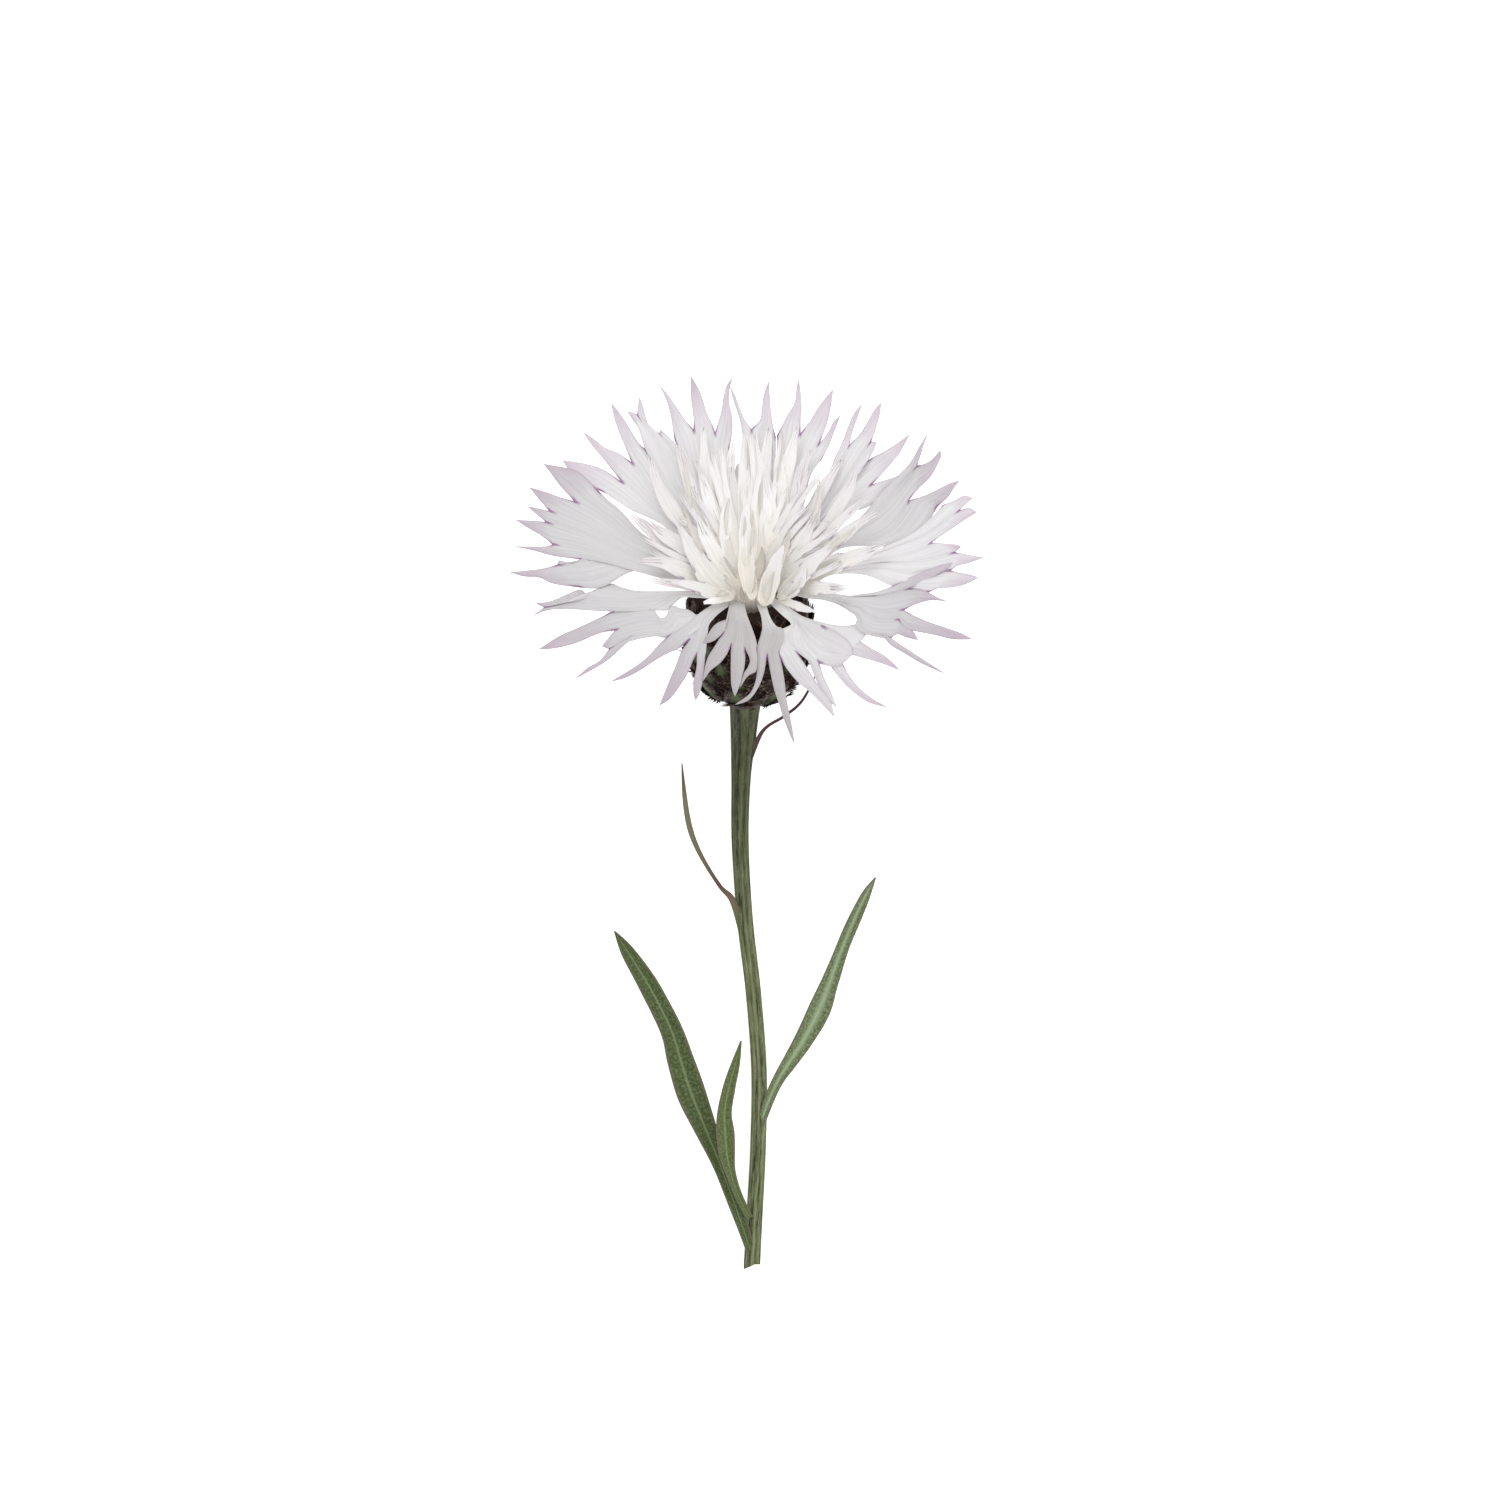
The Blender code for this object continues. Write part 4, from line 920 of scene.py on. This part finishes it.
# The middle line of a strap, root to tip, is (x, y, half width) in pixels of the photo, read off it.
# Rise is how far its tip stands over the lowest straps, hollow how deep it is between its edges, and lip how
# far its near end curls up. In both lists the lowest come first.
LEANING_STRAPS = (  # (rise, hollow, middle line)
    (0.6, 0.5, ((742, 575, 5), (733, 530, 7), (728, 490, 6), (731, 455, 4), (733, 440, 1))),
    (0.3, 0.5, ((752, 572, 6), (757, 520, 8), (764, 470, 7), (768, 440, 4), (769, 425, 1))),
    (0.9, 0.4, ((735, 580, 5), (712, 540, 7), (697, 500, 7), (687, 465, 5), (676, 440, 1))),
    (0.6, 0.4, ((783, 575, 6), (803, 530, 7), (818, 497, 6), (833, 472, 4), (842, 458, 1))),
    (1.8, 0.5, ((730, 585, 6), (704, 556, 8), (684, 527, 8), (666, 500, 7), (655, 476, 5), (650, 455, 1))),
    (2.4, 0.5, ((728, 590, 6), (700, 568, 8), (672, 548, 8), (650, 530, 6), (630, 514, 1))),
    (2.7, 0.4, ((790, 580, 6), (812, 548, 8), (832, 518, 7), (849, 488, 5), (858, 466, 1))),
    (1.5, 0.4, ((738, 577, 6), (722, 545, 8), (709, 505, 8), (705, 465, 6), (703, 425, 1))),
    (1.2, 0.5, ((742, 575, 6), (737, 530, 8), (735, 500, 6), (733, 478, 3), (731, 466, 1))),
    (2.1, 0.5, ((768, 573, 6), (776, 530, 8), (783, 490, 8), (790, 455, 6), (797, 425, 1))),
    (1.8, 0.5, ((775, 574, 6), (787, 535, 8), (796, 500, 7), (801, 472, 6), (811, 448, 1))),
    (2.4, 0.6, ((747, 576, 6), (746, 530, 8), (745, 490, 7), (744, 460, 5), (745, 430, 1))),
    (1.8, 0.5, ((760, 572, 6), (764, 530, 8), (766, 490, 8), (758, 460, 5), (755, 434, 1))),
    (2.7, 0.5, ((732, 580, 6), (716, 550, 7), (700, 518, 7), (691, 488, 6), (682, 462, 4), (678, 446, 1))),
    (3.9, 0.4, ((730, 594, 6), (705, 580, 9), (682, 570, 8), (662, 563, 6), (640, 562, 1))),
    (3.6, 0.4, ((735, 590, 6), (712, 566, 9), (690, 550, 9), (668, 538, 7), (645, 520, 1))),
    (3, 0.6, ((770, 573, 5), (781, 540, 6), (783, 500, 6), (779, 465, 5), (783, 432, 1))),
    (3.3, 0.5, ((786, 577, 6), (801, 550, 7), (812, 522, 6), (818, 498, 4), (820, 478, 1))),
    (4.2, 0.4, ((792, 583, 5), (810, 556, 6), (830, 532, 5), (850, 512, 4), (868, 498, 1))),
    (3.9, 0.4, ((800, 588, 6), (824, 569, 9), (848, 560, 8), (868, 552, 5), (886, 545, 1))),
    (4.2, 0.5, ((796, 584, 6), (816, 561, 7), (836, 542, 6), (855, 526, 5), (878, 512, 1))),
    (3.3, 0.5, ((735, 582, 6), (723, 550, 8), (713, 517, 7), (706, 490, 5), (700, 470, 1))),
    (3, 0.5, ((743, 580, 6), (735, 545, 8), (727, 510, 7), (720, 480, 6), (716, 452, 1))),
    (3.3, 0.6, ((780, 577, 6), (793, 545, 7), (797, 515, 7), (796, 490, 5), (800, 465, 1))),
    (4.2, 0.3, ((738, 600, 4), (715, 593, 6), (692, 587, 5), (672, 584, 4), (652, 582, 1))),
    (4.2, 0.3, ((788, 592, 5), (806, 589, 6), (828, 589, 6), (849, 589, 1))),
    (4, 0.6, ((770, 562, 2), (771, 548, 6), (771, 520, 7), (768, 495, 5), (764, 475, 1))),
    (4, 0.5, ((744, 590, 6), (735, 565, 8), (728, 540, 8), (726, 518, 6), (729, 498, 1))),
    (4.2, 0.4, ((740, 592, 6), (727, 574, 8), (715, 554, 8), (705, 535, 6), (697, 516, 1))),
    (4.2, 0.4, ((774, 592, 6), (786, 570, 8), (798, 548, 8), (808, 530, 5), (817, 512, 1))),
)
CURLED_STRAPS = (  # (rise, hollow, middle line, lip)
    (4, 0.3, (
        (735, 598, 5), (722, 588, 9), (709, 575, 11), (698, 560, 9), (689, 544, 6), (680, 528, 2),
    ), 1.2),
    (4, 0.3, ((748, 597, 4), (747, 580, 7), (746, 562, 8), (746, 540, 7), (745, 520, 5), (748, 503, 2)), 0.6),
    (4, 0.3, ((778, 597, 5), (790, 588, 8), (802, 575, 8), (815, 561, 6), (832, 547, 2)), 1.2),
    (4, 0.7, ((734, 599, 3), (723, 596, 6), (710, 592, 7), (697, 587, 5), (682, 584, 3), (670, 583, 1)), 2),
    (3, 0.4, ((728, 599, 2), (719, 601, 3), (711, 602, 3), (704, 604, 1)), 1.6),
    (3, 0.4, ((778, 599, 3), (790, 604, 4), (802, 609, 4), (813, 612, 1)), 2),
    (4.4, 1.2, (
        (764, 607, 4), (765, 601, 7), (768, 589, 9), (772, 575, 8), (777, 561, 6), (783, 546, 1),
    ), 2.6),
    (4, 0.6, ((777, 599, 3), (787, 594, 6), (796, 587, 6), (802, 577, 4), (805, 567, 1)), 2),
    (4, 0.5, ((752, 601, 3), (752, 594, 5), (752, 586, 5), (754, 577, 3), (757, 566, 1)), 2),
)
# More of them, too slim to tell apart in the photo, fan out between both. The turn is from straight back.
SLIM_STRAPS = 36
SLIM_LENGTH = 150  # pixels
SLIM_BOW = 9
SLIM_FAN = 72  # degrees to either side
SLIM_MIDDLE = (752, 583)
SLIM_ROOTS = (18, 6)  # how far the roots spread to either side and back, in pixels
SLIM_HOLLOW = 0.3
SLIM_RISE = (2.0, 3.6)
SLIM_WIDTHS = ((0, 3), (0.25, 4), (0.5, 3.6), (0.75, 2.6), (1, 0.8))  # (share of the length, half width)

soft = {"soak": 0.85, "foot_end": 1.5}
petal_cream = petal_material("cream floret tissue", "E0DFDD", "D2CCBE", "DAD5D4", painted_glow=0.2, purple=0, **soft)
# The straps that end far to either side are less cream, and a trace of lilac shows at their points.
side_tissue = "pale tissue of side florets"
side_cream = petal_material(side_tissue, "DAD9D6", "D0CBC0", "D6CCD1", painted_glow=0.15, purple=0.7, **soft)


def photo_line(line, count):
    """A middle line of the photo as count points, their half widths, and the ways along and across it."""
    line = np.array(line, dtype=float)
    line = even_steps(np.column_stack((from_photo(line[:, :2]), line[:, 2] / PIXELS_PER_MM)), count)
    along = unit(np.gradient(line[:, :2], axis=0))
    across = np.column_stack((along[:, 1], -along[:, 0]))
    return line[:, None, :2], line[:, 2:], along[:, None, :], across[:, None, :]


draw = random.Random(8)
slim = []
for turn in np.radians(np.linspace(-SLIM_FAN, SLIM_FAN, SLIM_STRAPS)):
    right, back = math.sin(turn), math.cos(turn)
    long = SLIM_LENGTH * (1 - 0.35 * abs(right)) * draw.uniform(0.6, 1.0)
    bow = draw.uniform(-SLIM_BOW, SLIM_BOW)
    line = []
    for share, wide in SLIM_WIDTHS:
        aside = bow * math.sin(2.6 * share)
        x = SLIM_MIDDLE[0] + (SLIM_ROOTS[0] + long * share) * right + aside * back
        y = SLIM_MIDDLE[1] - (SLIM_ROOTS[1] + long * share) * back + aside * right
        line.append((x, y, wide))
    slim.append((draw.uniform(*SLIM_RISE), SLIM_HOLLOW, line))

points, uvs, faces, kinds = [], [], [], []
gone = np.linspace(0, 1, STRAP_ROWS)[:, None]
side = np.linspace(-1, 1, STRAP_COLUMNS + 1)[None, :]
lean = np.clip(gone / LEANT_BACK, 0, 1)
lean = lean**2 * (3 - 2 * lean)
for number, (rise, hollow, line, *curl) in enumerate((*LEANING_STRAPS, *slim, *CURLED_STRAPS)):
    lip = curl[0] if curl else 0
    middle, half, along, across = photo_line(line, STRAP_ROWS)
    slimmest = 0.03 if lip else min(STRAP_SLIMMEST, 0.7 * half.max())
    half = np.maximum(half, slimmest) * (1 + 0.08 * np.sin(19 * gone + 2 * number))
    half = half * np.sqrt(np.clip(gone / 0.07, 0.05, 1))
    fork = 0 if lip else min(STRAP_FORK, 4 * half.max())
    seen = middle + across * (half * side)[:, :, None]
    seen = seen - along * (fork * (1 - np.abs(np.cos(math.pi * side))) * gone**4)[:, :, None]
    bend = STRAP_HOLLOW * hollow * side**2 * np.minimum(half, 1)
    bend = bend + STRAP_RIB * np.cos(2 * math.pi * half * side / STRAP_RIB_SPACING)
    bend = bend + draw.uniform(-STRAP_TWIST, STRAP_TWIST) * side * gone * half
    bend = bend + lip * np.exp(-((gone / LIP_LENGTH) ** 2))
    if lip:
        spoon = np.exp(-(((gone - SPOON_PLACE) / SPOON_LENGTH) ** 2))
        bend = bend + SPOON_DEPTH * (side**2 - 0.3) * spoon
    z = STRAP_ROOT * (1 - lean) + (on_bloom(seen)[0] + STRAP_OVER_DISH) * lean
    z = z + STRAP_STEP * number + STRAP_RISE * rise * gone + STRAP_ARCH * np.sin(math.pi * gone) + bend
    faces += grid_faces(STRAP_ROWS, STRAP_COLUMNS + 1, len(points))
    points += np.dstack((seen + MOUTH[:2], z)).reshape(-1, 3).tolist()
    uvs += grid_map(number + (side + 1) / 2, 2 * gone).tolist()
    kinds += [int(abs(middle[-1, 0, 0]) > SIDE_REACH)] * (len(faces) - len(kinds))
creams = (petal_cream, side_cream)
add_piece("cream_straps", points, faces, uvs, creams, "disc_florets", kinds, STRAP_THICKNESS)

# Painted shade lies over the straps in tan strips, in the folds and gaps between florets. The shade runs from
# 0, brown, to 1, cream.
PAINTED_FOLD_SHADE = (  # (shade, middle line)
    (0.75, ((685, 508, 1), (688, 520, 2), (692, 532, 2.4), (698, 545, 2), (703, 555, 0.3))),
    (0.85, ((684, 458, 0.3), (686, 474, 2), (688, 488, 2), (690, 500, 1.5), (691, 510, 0.3))),
    (0.75, ((782, 428, 0.3), (783, 445, 1.2), (780, 462, 1.2), (777, 482, 0.3))),
    (0.85, ((819, 480, 0.3), (820, 495, 2), (817, 508, 2), (811, 524, 0.3))),
    (0.75, ((789, 528, 0.3), (788, 542, 2), (785, 554, 2), (782, 566, 0.3))),
    (0.80, ((753, 511, 0.3), (753, 528, 1.4), (752, 542, 1.8), (750, 555, 0.3))),
    (0.75, ((745, 516, 0.3), (745, 527, 1.4), (743, 537, 0.3))),
    (0.90, ((729, 498, 0.3), (727, 512, 1.6), (726, 525, 1.6), (727, 536, 0.3))),
    (0.80, ((855, 527, 0.3), (845, 538, 2), (836, 544, 2), (827, 551, 0.3))),
    (0.50, ((758, 581, 0.5), (759, 573, 3.5), (761, 563, 4), (762, 556, 3), (762, 547, 0.3))),
    (0.55, ((725, 558, 0.3), (730, 567, 1.6), (737, 579, 0.3))),
    (0.70, ((724, 575, 0.3), (729, 582, 2.4), (735, 590, 0.3))),
    (0.25, ((744, 601, 0.5), (742, 595, 2.6), (741, 586, 0.3))),
    (0.80, ((766, 603, 0.3), (767, 596, 3), (769, 586, 3), (774, 572, 0.3))),
    (0.85, ((716, 597, 0.3), (724, 594, 2), (731, 590, 0.3))),
    (0.85, ((787, 597, 0.3), (795, 589, 2), (801, 578, 0.3))),
    (0.80, ((747, 438, 0.3), (748, 455, 1.2), (747, 469, 0.3))),
)
FOLD_ROWS = 20
FOLD_COLUMNS = 6
FOLD_THICKNESS = 0.08
FOLD_OVER_STRAP = 0.2
FOLD_SMOOTHING = (0.1, 0.2, 0.4, 0.2, 0.1)
# The strips are painted shade, brown where it is deepest.
fold_shade = petal_material("painted shade in floret folds", "DAD7CE", "8F8474", "DAD7CE", 0.5, 0.7, purple=0)
cover = BVHTree.FromPolygons(points, faces)
points, uvs, faces = [], [], []
side = np.linspace(-1, 1, FOLD_COLUMNS + 1)[None, :]
for shade, line in PAINTED_FOLD_SHADE:
    middle, half, along, across = photo_line(line, FOLD_ROWS)
    seen = middle + across * (half * side)[:, :, None] + MOUTH[:2]
    # It lies on the highest strap under it, as a smooth line where there is one.
    hits = [cover.ray_cast((x, y, 60), (0, 0, -1))[0] for x, y in seen.reshape(-1, 2)]
    level = np.array([hit[2] if hit else 0 for hit in hits]).reshape(FOLD_ROWS, -1).max(axis=1)
    level = np.interp(np.arange(FOLD_ROWS), np.flatnonzero(level), level[level > 0])
    level = np.convolve(np.pad(level, 2, mode="edge"), FOLD_SMOOTHING, mode="valid") + FOLD_OVER_STRAP
    faces += grid_faces(FOLD_ROWS, FOLD_COLUMNS + 1, len(points))
    points += np.dstack((seen, level[:, None] + 0 * seen[:, :, 0])).reshape(-1, 3).tolist()
    uvs += grid_map((side + 1) / 2, 0.1 + 0.6 * shade + 0 * half).tolist()
add_piece("painted_fold_shade", points, faces, uvs, (fold_shade,), "disc_florets", None, FOLD_THICKNESS)


# The floret tubes.
# Between the cup and the spread florets their pale tubes stand side by side in a fluted bundle. It grows out
# of the flat floor of the head and fills the cup's mouth.
TUBES_IN_CUP = ((-1.0, 3.6), (1.3, 3.7))  # (height, radius) on the cup's axis, over its mouth
TUBES_IN_BLOOM = ((3.0, 3.2), (4.0, 3.0), (4.8, 2.4), (5.4, 1.6), (5.8, 0.8), (5.9, 0.05))  # on the bloom's
BUNDLE_SIDES = 120
BUNDLE_FLUTES = 30
FLUTE_DEPTH = 0.07  # share of the radius
# The tubes' first rings are painted dark, as painted shade inside the cup and between the florets' necks.
BUNDLE_SHADES = (0, 0.05, 0.5, 0.7)  # of its first rings and all others: dark inside the cup, then pale
shaded_floret_feet = petal_material("pale floret feet in painted shade", "E4DBD0", "261610", "D9D2CA", 0.4, 0.7, painted_glow=0.12, purple=0)

turn = np.linspace(0, 2 * math.pi, BUNDLE_SIDES, endpoint=False)
flute = 1 + FLUTE_DEPTH * np.abs(np.sin(turn * BUNDLE_FLUTES / 2))
right, back = flute * np.cos(turn), flute * np.sin(turn)
rings = [tilted(CUP_TILT, radius * right, radius * back, height) for height, radius in TUBES_IN_CUP]
rings += [tilted(BLOOM_TILT, radius * right, radius * back, height) for height, radius in TUBES_IN_BLOOM]
shades = np.interp(np.arange(len(rings)), range(len(BUNDLE_SHADES)), BUNDLE_SHADES)[:, None]
uvs = grid_map(np.arange(BUNDLE_SIDES) / BUNDLE_SIDES * BUNDLE_FLUTES, shades)
faces = grid_faces(len(rings), BUNDLE_SIDES, closed=True)
add_piece("packed_tubes", rings, faces, uvs, (shaded_floret_feet,), "ray_florets")

size = {"cad": [list(corner) for corner in cad_box], "visual": [list(corner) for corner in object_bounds()]}
